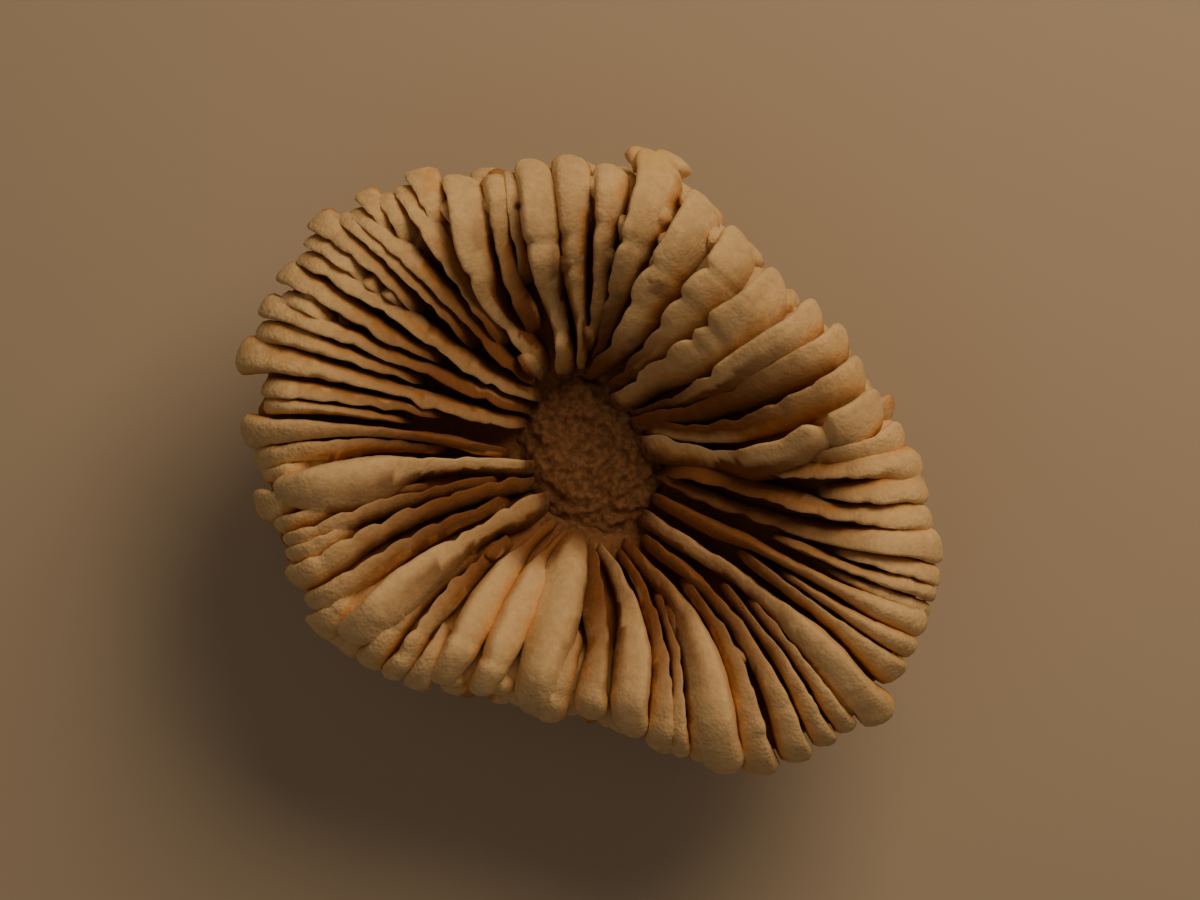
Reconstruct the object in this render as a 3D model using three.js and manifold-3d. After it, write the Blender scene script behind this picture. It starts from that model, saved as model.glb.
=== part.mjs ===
// Button coral skeleton: one solitary corallum, cut off flat where it grew on rock.
// Millimetres, +Z up. The cut base lies on z = 0 and the spongy centre stands on the Z axis.
// Bearings are degrees, counter-clockwise from +X; radii are measured from the Z axis.
import * as THREE from "three";
import { mergeVertices } from "three/addons/utils/BufferGeometryUtils.js";
import Module from "manifold-3d";

const CROWN_HEIGHT = 40.2;
const CORAL_COLOUR = "#cfae86";
const CORAL_ROUGHNESS = 0.88;

// The cup: outline of the wall's rim seen from above as [bearing, radius].
const RIM_OUTLINE = [
  [0, 38.5], [25, 33.5], [48, 30.5], [70, 33.5], [90, 35.5], [118, 38], [142, 42.5],
  [165, 42], [185, 40.5], [212, 39], [235, 34.5], [258, 31.5], [275, 33.5], [295, 41.5],
  [318, 45.5], [338, 44.5], [350, 41],
];
const TIP_OVERHANG = 4;
const CUP_SEGMENTS = 30;
// Outside of the wall from the cut base up: [share of the rim radius, height].
const WALL_PROFILE = [[0.56, 0], [1, 28.5]];
// Inner edge of the rim, from which the funnel falls to its deepest point on the axis.
const RIM_INNER_EDGE = [0.86, 34];
const FUNNEL_DEPTH_HEIGHT = 6;

// Free edge of a full septum: [share of the way from the axis to the tips, height].
const CREST_PROFILE = [
  [0.1, 18.5], [0.18, 22.5], [0.28, 26.5], [0.4, 30.5], [0.54, 35], [0.68, 38.6],
  [0.8, CROWN_HEIGHT], [0.9, 39.4], [1, 37.2], [1.1, 34.8],
];
const BLADE_THICKNESS = 1;
const BLADE_SHARE = 0.6;
const CAP_SHARE = 0.26;
const WAIST_SHARE = 0.55;
const WAIST_LIMIT = 0.35;
const FOOT_LIMIT = 0.8;
const PETAL_WIDTH = 4.8;
const PETAL_TAPER = 1.9;
const COSTA_RELIEF = 1.6;
const LOWEST_RIB = 0.6;
const BURIED_HEIGHT = 3;
const ROOT_DEPTH = 6;
const NOSE_DROP = 3.4;
const UNDERCUT = 2.3;
const UNDERCUT_POWER = 0.85;
const TIP_HALF_HEIGHT = 0.9;
// How the outer end is rounded off: [inset as a share of the width, share of the width].
const TIP_STEPS = [[0.45, 1], [0, 0.5]];

// How far a septum's root stands clockwise of its crest, in mm a mm of depth, by bearing.
const LEAN_BY_BEARING = [
  [0, 0.3], [20, 0.5], [75, 0.5], [92, 0.12], [106, 0.15], [118, 0.42], [146, 0.42],
  [156, 0.2], [168, 0.15], [174, -0.18], [190, -0.3], [215, -0.3], [240, -0.12], [256, 0],
  [275, 0.12], [318, 0.14], [332, 0], [340, -0.28], [355, -0.25], [359, 0.1],
];

// Septa from the centre outwards, one row each: crest points as [bearing, radius, width].
const SEPTA = {
  east_1: [[31, 4.6, 1.5], [14, 9.4, 2.2], [4, 14, 1.6], [1, 19.5, 2.8], [4.3, 24.5, 5.2],
    [8, 28.6, 3.6], [10.4, 33, 5.6], [12, 38, 4.4]],
  northeast_6: [[33, 8, 1.3], [20, 12, 1.5], [14.5, 18, 2.4], [16, 25, 4], [19.6, 37, 4.2]],
  northeast_5: [[48, 6.6, 1.2], [33, 10.5, 1.4], [26, 17, 2.4], [26.5, 25, 4.4], [27, 36.8, 4.4]],
  northeast_4: [[52, 7, 1.2], [40, 11, 1.6], [35, 16, 2.8], [34.8, 24, 5], [34, 35.3, 4.8]],
  northeast_3: [[82, 7.6, 1.4], [66, 9.4, 2.6], [57, 14, 3.6], [51, 20, 6.4], [48, 26, 7.2],
    [44.5, 34, 5.4]],
  northeast_2: [[80, 9.4, 1.2], [68, 13.5, 2], [63.5, 18, 3.4], [60.5, 25, 5.2],
    [57.5, 35, 4.8]],
  northeast_1: [[95, 10.4, 1.2], [86, 13, 1.8], [78, 17.5, 3.4], [75, 23, 4.6], [71, 30, 4.8],
    [68, 37, 4]],
  north_east_2: [[91, 12, 1.2], [86, 18, 2.2], [83.5, 24, 3.4], [81, 32, 4.4], [79.5, 40.6, 5.4]],
  north_east_1: [[93, 14, 1.4], [89.5, 20, 2.2], [88.8, 27, 2.6], [87.5, 38, 3.6]],
  north_1: [[99, 11.6, 1.6], [95.5, 17, 1.5], [96.6, 22, 2.2], [96.2, 28, 3], [96, 34, 3.6],
    [95, 39.3, 3.8]],
  north_2: [[114, 11.4, 1.6], [107.5, 15, 2.4], [105.5, 19.5, 1.6], [107, 25, 3.4],
    [104.8, 31, 5], [102.5, 39.4, 4.4]],
  north_3: [[118.5, 18, 1.1], [116.4, 26, 1.9], [113.5, 32, 2.4], [109, 38.6, 2.8]],
  north_4: [[125, 11.8, 1.6], [125, 17, 2.4], [126, 24, 2.8], [123.8, 30, 4.6],
    [120.7, 35, 5.4], [116.8, 40.8, 5]],
  northwest_1: [[125.3, 35, 1.3], [123.2, 44, 2.4]],
  northwest_2: [[131, 18, 1.2], [129.3, 27, 1.6], [127.4, 37, 2.8], [126.2, 43, 2.8]],
  northwest_3: [[132, 36, 1.5], [129.6, 43.8, 2.6]],
  northwest_4: [[133, 38, 1.4], [132.2, 45.8, 2.2]],
  northwest_5: [[131, 12, 1.2], [135.3, 18, 1.8], [134.2, 27, 1.9], [135, 44.6, 1.9]],
  northwest_6: [[139, 21, 1.2], [137.2, 29, 1.6], [136.9, 45.3, 2.1]],
  northwest_7: [[141.4, 29, 1.3], [140.4, 37, 2], [140.8, 47.8, 3]],
  northwest_8: [[143.2, 36, 1.4], [143.5, 46.6, 2.6]],
  northwest_9: [[135, 10, 1.6], [142, 12.6, 2.4], [146, 17, 2.8], [146.4, 23, 2.4],
    [145.4, 28, 2], [146.2, 37, 2.6], [146.5, 46, 1.9]],
  northwest_10: [[148.8, 23, 1.2], [151, 31, 1.6], [150.2, 47.3, 2.6]],
  northwest_11: [[153.6, 37, 1.2], [153.4, 45.4, 1.8]],
  west_1: [[147, 10, 1.4], [152, 14.5, 2.2], [154.2, 21, 1.9], [155, 30, 1.7], [156.2, 47.5, 3]],
  west_2: [[157.5, 24, 1.2], [158.8, 33, 1.6], [159.8, 46.6, 2.6]],
  west_3: [[157, 9.6, 1.6], [162.5, 14, 2.6], [163.6, 20, 2], [163, 29, 2], [163.8, 38, 2.8],
    [164.9, 48.2, 3.8]],
  west_4: [[166, 20, 1.2], [167.5, 30, 1.6], [168.8, 38, 1.8], [169, 43.8, 2.4]],
  west_5: [[170, 24, 1.1], [170.2, 35, 1.4], [171.2, 43.2, 2.2]],
  west_6: [[177, 11, 1.4], [173.4, 17, 1.8], [172.6, 27, 2.2], [173.6, 38, 3],
    [175.2, 46, 3.6]],
  west_7: [[176, 19, 1.2], [175.6, 29, 1.7], [178, 38, 2.2], [180, 44.2, 3.2]],
  west_8: [[190, 6.4, 1.6], [183.4, 11.4, 2.4], [181.5, 18, 1.9], [181.2, 23, 3.2],
    [182.2, 29, 7], [183.6, 35.5, 6.6], [185.5, 41.6, 3.6]],
  west_9: [[181, 36, 2], [182.8, 43.2, 2.6]],
  west_10: [[188, 36, 2.6], [186.4, 44.5, 4.2]],
  southwest_1: [[189.6, 22, 1.1], [189.4, 30, 1.4], [192, 42.4, 2.8]],
  southwest_2: [[192.5, 13, 1.2], [190.8, 21, 1.9], [192.4, 30, 2.4], [195, 41.6, 2.4]],
  southwest_3: [[195.5, 32, 1.8], [197.6, 41.8, 2.8]],
  southwest_4: [[201, 8.2, 1.5], [196, 14.5, 2], [195.8, 21, 2.2], [198, 31, 3],
    [201.2, 42.7, 3.6]],
  southwest_5: [[206, 12.4, 1.6], [203.3, 20, 2], [204.2, 29, 2.4], [207, 42, 3]],
  southwest_6: [[223, 6.8, 1.8], [212.6, 11.5, 3], [211.8, 18, 2.6], [211.2, 24, 5.2],
    [211.8, 30.5, 7], [215.4, 40.2, 5.6]],
  southwest_7: [[209.6, 35, 2], [210.2, 43.2, 3]],
  south_1: [[219.6, 20, 1.2], [218.8, 27, 1.6], [221.4, 40.6, 2.8]],
  south_2: [[223, 15.5, 2], [221.8, 21, 2.2], [223.4, 30, 2.8], [227, 39.5, 3.2]],
  south_3: [[228.4, 29, 2], [231, 38.6, 3.4]],
  south_4: [[239, 9.4, 1.4], [231.5, 13.4, 2.2], [230.2, 19, 4.4], [231.2, 25, 5.6],
    [234.6, 36, 4.6]],
  south_5: [[251, 10.8, 1.4], [243, 14, 2.4], [241.6, 19, 4.4], [242, 26, 5.2], [243.6, 34.6, 4.4]],
  south_6: [[262, 10.2, 2], [257.8, 14.4, 5.4], [257.2, 19.5, 6.6], [256.6, 26, 6.6],
    [256.2, 34.6, 4.6]],
  south_7: [[265.6, 23, 2.2], [262.8, 27.5, 3.2], [259.8, 35.2, 3.2]],
  south_8: [[270, 11.8, 1.3], [274.6, 17, 1.8], [273.8, 24, 2.4], [270.3, 34.4, 3.6]],
  south_9: [[274.6, 11.8, 1.5], [282, 15, 1.7], [285.6, 21, 3], [283, 28, 5.2],
    [278.4, 37, 4.6]],
  south_10: [[287.5, 13, 1.3], [291.8, 18, 1.6], [290.8, 26, 2.4], [287, 34.5, 3.2],
    [283.4, 39.8, 3.4]],
  south_11: [[296.5, 20, 1.1], [293, 29, 1.5], [286.8, 41, 2.8]],
  southeast_1: [[291, 12, 1.5], [297.5, 16.5, 2], [301.6, 23, 3], [300, 30, 5.2],
    [296.6, 37, 6.4], [293.4, 45.2, 5.4]],
  southeast_2: [[307.6, 20, 1.2], [306.8, 30, 1.9], [302.5, 40, 2.4], [298.6, 47.6, 3.8]],
  southeast_3: [[303.5, 12.6, 1.4], [310.4, 20, 2], [311.2, 29, 2.2], [308.6, 39, 3],
    [305, 48.6, 3.8]],
  southeast_4: [[316.4, 24, 1.1], [313.6, 36, 1.6], [309.8, 49, 2.8]],
  southeast_5: [[318.4, 28, 1.1], [315.6, 40, 1.7], [313.4, 49.3, 2.8]],
  southeast_6: [[311.5, 9.6, 1.8], [317, 15, 2.4], [320.8, 23, 2], [321.2, 31, 2.6],
    [320.6, 40, 4.8], [318.3, 51.8, 4]],
  southeast_7: [[327.4, 23, 1.1], [326, 38, 1.6], [325.2, 49.5, 2.8]],
  southeast_8: [[328.4, 29, 1.2], [328.2, 40, 1.8], [328.9, 49.3, 3]],
  southeast_9: [[327, 9.4, 1.5], [329.2, 17, 1.9], [331, 28, 1.8], [331.6, 39, 2.8],
    [332.4, 49, 4.4]],
  east_5: [[335.2, 26, 1.1], [335.6, 38, 1.6], [337.4, 48.5, 2.4]],
  east_4: [[337.6, 34, 1.3], [339.6, 48.2, 2.4]],
  east_3: [[342, 8, 1.5], [337.2, 14, 1.9], [338.2, 23, 1.8], [340, 34, 2.8], [343.6, 47.5, 5]],
  east_2: [[345, 9.8, 1.3], [345.3, 19, 1.5], [344.8, 29, 2], [346.2, 38, 3], [348.5, 45.3, 3.6]],
  east_7: [[349.4, 30, 1.6], [350.4, 37, 3.4], [352.8, 44.2, 4.2]],
  east_8: [[356, 17.5, 1.3], [353.7, 27, 2], [356, 36, 3], [359.4, 42.8, 3.6]],
  east_9: [[0, 27, 1.4], [3, 35, 2.6], [5.2, 40.5, 3.6]],
};

// Rounded lobes of the outer wall that show beyond the septa: [bearing, reach, width].
const WALL_LOBES = [
  [10.5, 40, 3.4], [50.5, 33.7, 4], [73.5, 38.1, 4], [91.5, 38.7, 3.6],
  [112.5, 40.6, 3.6], [214, 42.6, 3], [237.5, 36.8, 3.6], [250, 35.1, 4], [265, 34.2, 4],
  [274, 36, 3.4],
];
const LOBE_LENGTH = 9;
const LOBE_DROP = 8;

// Spongy centre: half sizes of the mound, its turn and how much its surface wanders.
const MOUND_HALF_SIZES = [8.6, 10.6, 11.6];
const MOUND_TURN = 16;
const MOUND_CENTRE_HEIGHT = 7;
const MOUND_ROOT_SHARE = 0.4;
const MOUND_DETAIL = 2;
const MOUND_ROUGHNESS = 0.5;
const MOUND_WAVES = [9, 8, 7];

const wasm = await Module();
wasm.setup();

const radians = THREE.MathUtils.degToRad;

// Value at x on the polyline through [x, value] pairs, held level past both ends.
function interpolate(pairs, x) {
  if (x <= pairs[0][0]) return pairs[0][1];
  for (let i = 1; i < pairs.length; i++) {
    const [x0, v0] = pairs[i - 1];
    const [x1, v1] = pairs[i];
    if (x <= x1) return v0 + ((v1 - v0) * (x - x0)) / (x1 - x0);
  }
  return pairs[pairs.length - 1][1];
}

// The same round the full circle of bearings.
function interpolateBearing(pairs, bearing) {
  const turn = ((bearing % 360) + 360) % 360;
  return interpolate([...pairs, [pairs[0][0] + 360, pairs[0][1]]], turn);
}

const rimRadius = (bearing) => interpolateBearing(RIM_OUTLINE, bearing);

function crestHeight(bearing, radius) {
  return interpolate(CREST_PROFILE, radius / (rimRadius(bearing) + TIP_OVERHANG));
}

// Lowest point of a rib at this radius: it follows the outside of the wall, standing proud of it.
function costaHeight(bearing, radius) {
  const rim = rimRadius(bearing);
  const inverse = WALL_PROFILE.map(([share, height]) => [share * rim + COSTA_RELIEF, height]);
  return Math.max(interpolate(inverse, radius), LOWEST_RIB);
}

function toSolid(positions) {
  const raw = new THREE.BufferGeometry();
  raw.setAttribute("position", new THREE.Float32BufferAttribute(positions, 3));
  const merged = mergeVertices(raw, 1e-3);
  return new wasm.Manifold(
    new wasm.Mesh({
      numProp: 3,
      vertProperties: merged.attributes.position.array,
      triVerts: new Uint32Array(merged.index.array),
    }),
  );
}

function pushTriangle(positions, a, b, c) {
  positions.push(a.x, a.y, a.z, b.x, b.y, b.z, c.x, c.y, c.z);
}

// Flat cap over a ring whose outline in its own plane is given as 2D points.
function pushCap(positions, ring, outline, facingOut) {
  for (const [i, j, k] of THREE.ShapeUtils.triangulateShape(outline, [])) {
    const turn = outline[j].clone().sub(outline[i]).cross(outline[k].clone().sub(outline[i]));
    const corners = turn > 0 === facingOut ? [i, j, k] : [i, k, j];
    pushTriangle(positions, ...corners.map((corner) => ring[corner]));
  }
}

// Closed solid through rings of equal point count, from the inner end to the outer one.
function loft(rings, outlines) {
  const positions = [];
  const count = rings[0].length;
  for (let i = 1; i < rings.length; i++) {
    const [a, b] = [rings[i - 1], rings[i]];
    for (let j = 0; j < count; j++) {
      const next = (j + 1) % count;
      pushTriangle(positions, a[j], a[next], b[next]);
      pushTriangle(positions, a[j], b[next], b[j]);
    }
  }
  pushCap(positions, rings[0], outlines[0], false);
  pushCap(positions, rings[rings.length - 1], outlines[outlines.length - 1], true);
  return toSolid(positions);
}

// Outline of a septum cut across: a swollen crest over a thin blade, as [sideways, height].
function sectionOutline(width, top, bottom, lean, petal) {
  const height = top - bottom;
  const blade = Math.min(BLADE_THICKNESS, width * BLADE_SHARE);
  const waist = Math.min(width * WAIST_SHARE, height * WAIST_LIMIT);
  const foot = Math.min(waist + width * PETAL_TAPER, height * FOOT_LIMIT);
  const side = [[width * CAP_SHARE, 0], [width * 0.5, waist]];
  if (petal) side.push([blade * 0.5, foot]);
  const left = side.map(([half, depth]) => [-half, depth]);
  const right = side.slice().reverse();
  return [...left, [0, height], ...right].map(
    ([sideways, depth]) => new THREE.Vector2(sideways - lean * Math.min(depth, foot), top - depth),
  );
}

// Places of a crest: the given points, then two more that round off the outer end.
function crestStations(points) {
  const plan = points.map(([bearing, radius, width]) => ({
    place: new THREE.Vector2(Math.cos(radians(bearing)), Math.sin(radians(bearing)))
      .multiplyScalar(radius),
    bearing,
    width,
    inset: 0,
  }));
  const tip = plan.pop();
  const back = tip.place.clone().sub(plan[plan.length - 1].place).normalize();
  for (const [share, widthShare] of TIP_STEPS) {
    const inset = share * tip.width;
    plan.push({
      place: tip.place.clone().addScaledVector(back, -inset),
      bearing: tip.bearing,
      width: tip.width * widthShare,
      inset: tip.width - inset,
    });
  }
  return plan;
}

// One septum with its rib: sections stand upright across the crest's path.
function septum(points, drop) {
  const stations = crestStations(points);
  const tip = stations[stations.length - 1];
  const tipRadius = tip.place.length();
  const tipHeight = crestHeight(tip.bearing, tipRadius) - drop - NOSE_DROP;
  const petal = Math.max(...points.map(([, , width]) => width)) >= PETAL_WIDTH;
  const rings = [];
  const outlines = [];
  stations.forEach((station, i) => {
    const before = stations[Math.max(i - 1, 0)].place;
    const after = stations[Math.min(i + 1, stations.length - 1)].place;
    const along = after.clone().sub(before).normalize();
    const radius = station.place.length();
    const toTip = tip.place.distanceTo(station.place);
    const nose = Math.sqrt(1 - (1 - Math.min(toTip / NOSE_DROP, 1)) ** 2);
    const crest = crestHeight(station.bearing, radius) - drop;
    const top = THREE.MathUtils.lerp(tipHeight + TIP_HALF_HEIGHT, crest, nose);
    const outside = radius > rimRadius(station.bearing) + COSTA_RELIEF;
    const rib = outside ? BURIED_HEIGHT : costaHeight(station.bearing, radius);
    const undercut = tipHeight - TIP_HALF_HEIGHT - UNDERCUT * toTip ** UNDERCUT_POWER;
    const bottom = Math.max(outside ? undercut : Math.min(undercut, rib + ROOT_DEPTH), rib);
    const lean = interpolateBearing(LEAN_BY_BEARING, station.bearing);
    const outline = sectionOutline(station.width, top, bottom, lean, petal);
    outlines.push(outline);
    rings.push(
      outline.map((p) => new THREE.Vector3(
        station.place.x - along.y * p.x,
        station.place.y + along.x * p.x,
        p.y,
      )),
    );
  });
  return loft(rings, outlines);
}

// The cup: a turned profile whose radius follows the rim outline.
function cup() {
  const profile = [...WALL_PROFILE, RIM_INNER_EDGE];
  const rings = profile.map(([share, height]) =>
    Array.from({ length: CUP_SEGMENTS }, (_, i) => {
      const bearing = (i * 360) / CUP_SEGMENTS;
      const radius = share * rimRadius(bearing);
      const angle = radians(bearing);
      return new THREE.Vector3(radius * Math.cos(angle), radius * Math.sin(angle), height);
    }),
  );
  const positions = [];
  const under = new THREE.Vector3(0, 0, 0);
  const floor = new THREE.Vector3(0, 0, FUNNEL_DEPTH_HEIGHT);
  const last = rings[rings.length - 1];
  for (let i = 0; i < CUP_SEGMENTS; i++) {
    const next = (i + 1) % CUP_SEGMENTS;
    pushTriangle(positions, under, rings[0][next], rings[0][i]);
    for (let k = 1; k < rings.length; k++) {
      const [a, b] = [rings[k - 1], rings[k]];
      pushTriangle(positions, a[i], a[next], b[next]);
      pushTriangle(positions, a[i], b[next], b[i]);
    }
    pushTriangle(positions, last[i], last[next], floor);
  }
  return toSolid(positions);
}

// The spongy mound in the centre.
function mound() {
  const ball = new THREE.IcosahedronGeometry(1, MOUND_DETAIL);
  const place = ball.attributes.position;
  const point = new THREE.Vector3();
  for (let i = 0; i < place.count; i++) {
    point.fromBufferAttribute(place, i);
    const ripple = MOUND_WAVES.reduce(
      (product, wave, axis) => product * Math.sin(wave * point.getComponent(axis) + 2 - axis),
      1,
    );
    point.multiply(new THREE.Vector3(...MOUND_HALF_SIZES));
    if (point.z < 0) point.z *= MOUND_ROOT_SHARE;
    point.addScaledVector(point.clone().normalize(), MOUND_ROUGHNESS * ripple);
    place.setXYZ(i, point.x, point.y, point.z);
  }
  ball.rotateZ(radians(MOUND_TURN));
  ball.translate(0, 0, MOUND_CENTRE_HEIGHT);
  return toSolid(Array.from(place.array));
}

let coral = cup().add(mound());
for (const points of Object.values(SEPTA)) coral = coral.add(septum(points, 0));
for (const [bearing, reach, width] of WALL_LOBES) {
  const points = [[bearing, reach - LOBE_LENGTH, width * 0.6], [bearing, reach, width]];
  coral = coral.add(septum(points, LOBE_DROP));
}

// Corner indices of the shells of a mesh: faces that share corners belong to one shell.
function shellsOf(triVerts, vertexCount) {
  const parent = Uint32Array.from({ length: vertexCount }, (_, i) => i);
  const find = (start) => {
    let i = start;
    while (parent[i] !== i) {
      parent[i] = parent[parent[i]];
      i = parent[i];
    }
    return i;
  };
  for (let t = 0; t < triVerts.length; t += 3) {
    parent[find(triVerts[t])] = find(triVerts[t + 1]);
    parent[find(triVerts[t + 1])] = find(triVerts[t + 2]);
  }
  const shells = new Map();
  for (let t = 0; t < triVerts.length; t += 3) {
    const key = find(triVerts[t]);
    if (!shells.has(key)) shells.set(key, []);
    shells.get(key).push(...triVerts.subarray(t, t + 3));
  }
  return [...shells.values()];
}

// The outside alone: pockets closed off between touching ribs are filled.
function outerShell(solid) {
  const mesh = solid.getMesh();
  const shells = shellsOf(mesh.triVerts, mesh.vertProperties.length / 3);
  const largest = shells.reduce((a, b) => (b.length > a.length ? b : a));
  const geometry = new THREE.BufferGeometry();
  geometry.setAttribute("position", new THREE.BufferAttribute(mesh.vertProperties, 3));
  geometry.setIndex(largest);
  return geometry.toNonIndexed();
}

const flat = outerShell(coral);
flat.computeVertexNormals();

const skeleton = new THREE.Mesh(
  flat,
  new THREE.MeshStandardMaterial({
    color: CORAL_COLOUR,
    roughness: CORAL_ROUGHNESS,
    metalness: 0,
  }),
);
skeleton.name = "coral_skeleton";

const group = new THREE.Group();
group.name = "button_coral";
group.add(skeleton);
export default group;
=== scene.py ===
"""Button coral skeleton: the dressed model of one solitary corallum, seen from straight above.

Lengths are millimetres until a mesh is made. +Z is up, the cut base lies on z = 0, and the
spongy centre stands on the Z axis. Bearings are degrees, counter-clockwise from +X.
"""

import logging
import math
from dataclasses import dataclass, field
from enum import Enum

import bmesh
import bpy
import numpy as np
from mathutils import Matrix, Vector, kdtree, noise


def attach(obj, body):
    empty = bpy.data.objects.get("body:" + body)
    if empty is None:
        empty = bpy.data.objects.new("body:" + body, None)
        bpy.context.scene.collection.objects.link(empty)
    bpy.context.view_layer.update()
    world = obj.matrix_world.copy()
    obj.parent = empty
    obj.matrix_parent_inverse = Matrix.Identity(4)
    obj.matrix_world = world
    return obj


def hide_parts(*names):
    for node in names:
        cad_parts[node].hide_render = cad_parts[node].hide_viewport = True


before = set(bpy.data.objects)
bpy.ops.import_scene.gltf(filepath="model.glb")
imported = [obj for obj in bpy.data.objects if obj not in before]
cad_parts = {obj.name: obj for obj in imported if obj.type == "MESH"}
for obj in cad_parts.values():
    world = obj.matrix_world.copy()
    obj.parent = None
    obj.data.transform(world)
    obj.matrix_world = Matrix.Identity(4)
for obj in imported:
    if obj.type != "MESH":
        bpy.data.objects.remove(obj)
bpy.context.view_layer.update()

MM = 0.001
NODE = "coral_skeleton"
LOG = logging.getLogger("button_coral")

CROWN_HEIGHT = 40.2
TIP_OVERHANG = 4.0

# Outline of the wall's rim seen from above: (bearing, radius).
RIM_OUTLINE = (
    (0, 38.5), (25, 33.5), (48, 30.5), (70, 33.5), (90, 35.5), (118, 38), (142, 42.5),
    (165, 42), (185, 40.5), (212, 39), (235, 34.5), (258, 31.5), (275, 33.5), (295, 41.5),
    (318, 45.5), (338, 44.5), (350, 41),
)

# Free edge of a full septum: (share of the way from the axis to the tips, height).
CREST_PROFILE = (
    (0.1, 18.5), (0.18, 22.5), (0.28, 26.5), (0.4, 30.5), (0.54, 35), (0.68, 38.6),
    (0.8, CROWN_HEIGHT), (0.9, 39.4), (1, 37.2), (1.1, 34.8),
)

# From which share of the reach on the valleys between the plates are shallow: (bearing, share).
VALLEY_START_BY_BEARING = (
    (0, 0.6), (40, 0.46), (70, 0.36), (115, 0.34), (140, 0.46), (190, 0.58), (210, 0.78),
    (250, 0.92), (300, 0.92), (330, 0.8), (360, 0.66),
)

# How far a septum's root stands clockwise of its crest, in mm a mm of depth: (bearing, lean).
LEAN_BY_BEARING = (
    (0, 0.3), (20, 0.5), (75, 0.5), (92, 0.12), (106, 0.15), (118, 0.42), (146, 0.42),
    (156, 0.2), (168, 0.15), (174, -0.18), (190, -0.3), (215, -0.3), (240, -0.12), (256, 0),
    (275, 0.12), (318, 0.14), (332, 0), (340, -0.28), (355, -0.25), (359, 0.1),
)


class Order(Enum):
    """What a radial plate is in the coral's growth. Knobs and wall lobes are named after it."""

    PLATE = "septum"
    KNOB = "knob"
    WALL_LOBE = "wall"


@dataclass(frozen=True)
class Septum:
    """One radial plate.

    The crest runs outwards through points of (bearing, radius, width). The notches are radii of
    the dips between its lobes, and without them chance places the dips. Sunk says how far the
    plate lies under the full height, pale how little it browns towards the centre, and cut how
    deep the notches go. The browning is partly staining and partly painted shade, so pale keeps
    a crest that stands in the light bright.
    """

    name: str
    crest: tuple
    notches: tuple | None = None
    sunk: float = 0.0
    pale: float = 0.0
    cut: float = 0.7
    order: Order = Order.PLATE

    @property
    def widest(self) -> float:
        """Largest width along the crest."""
        return max(width for _, _, width in self.crest)


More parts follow.
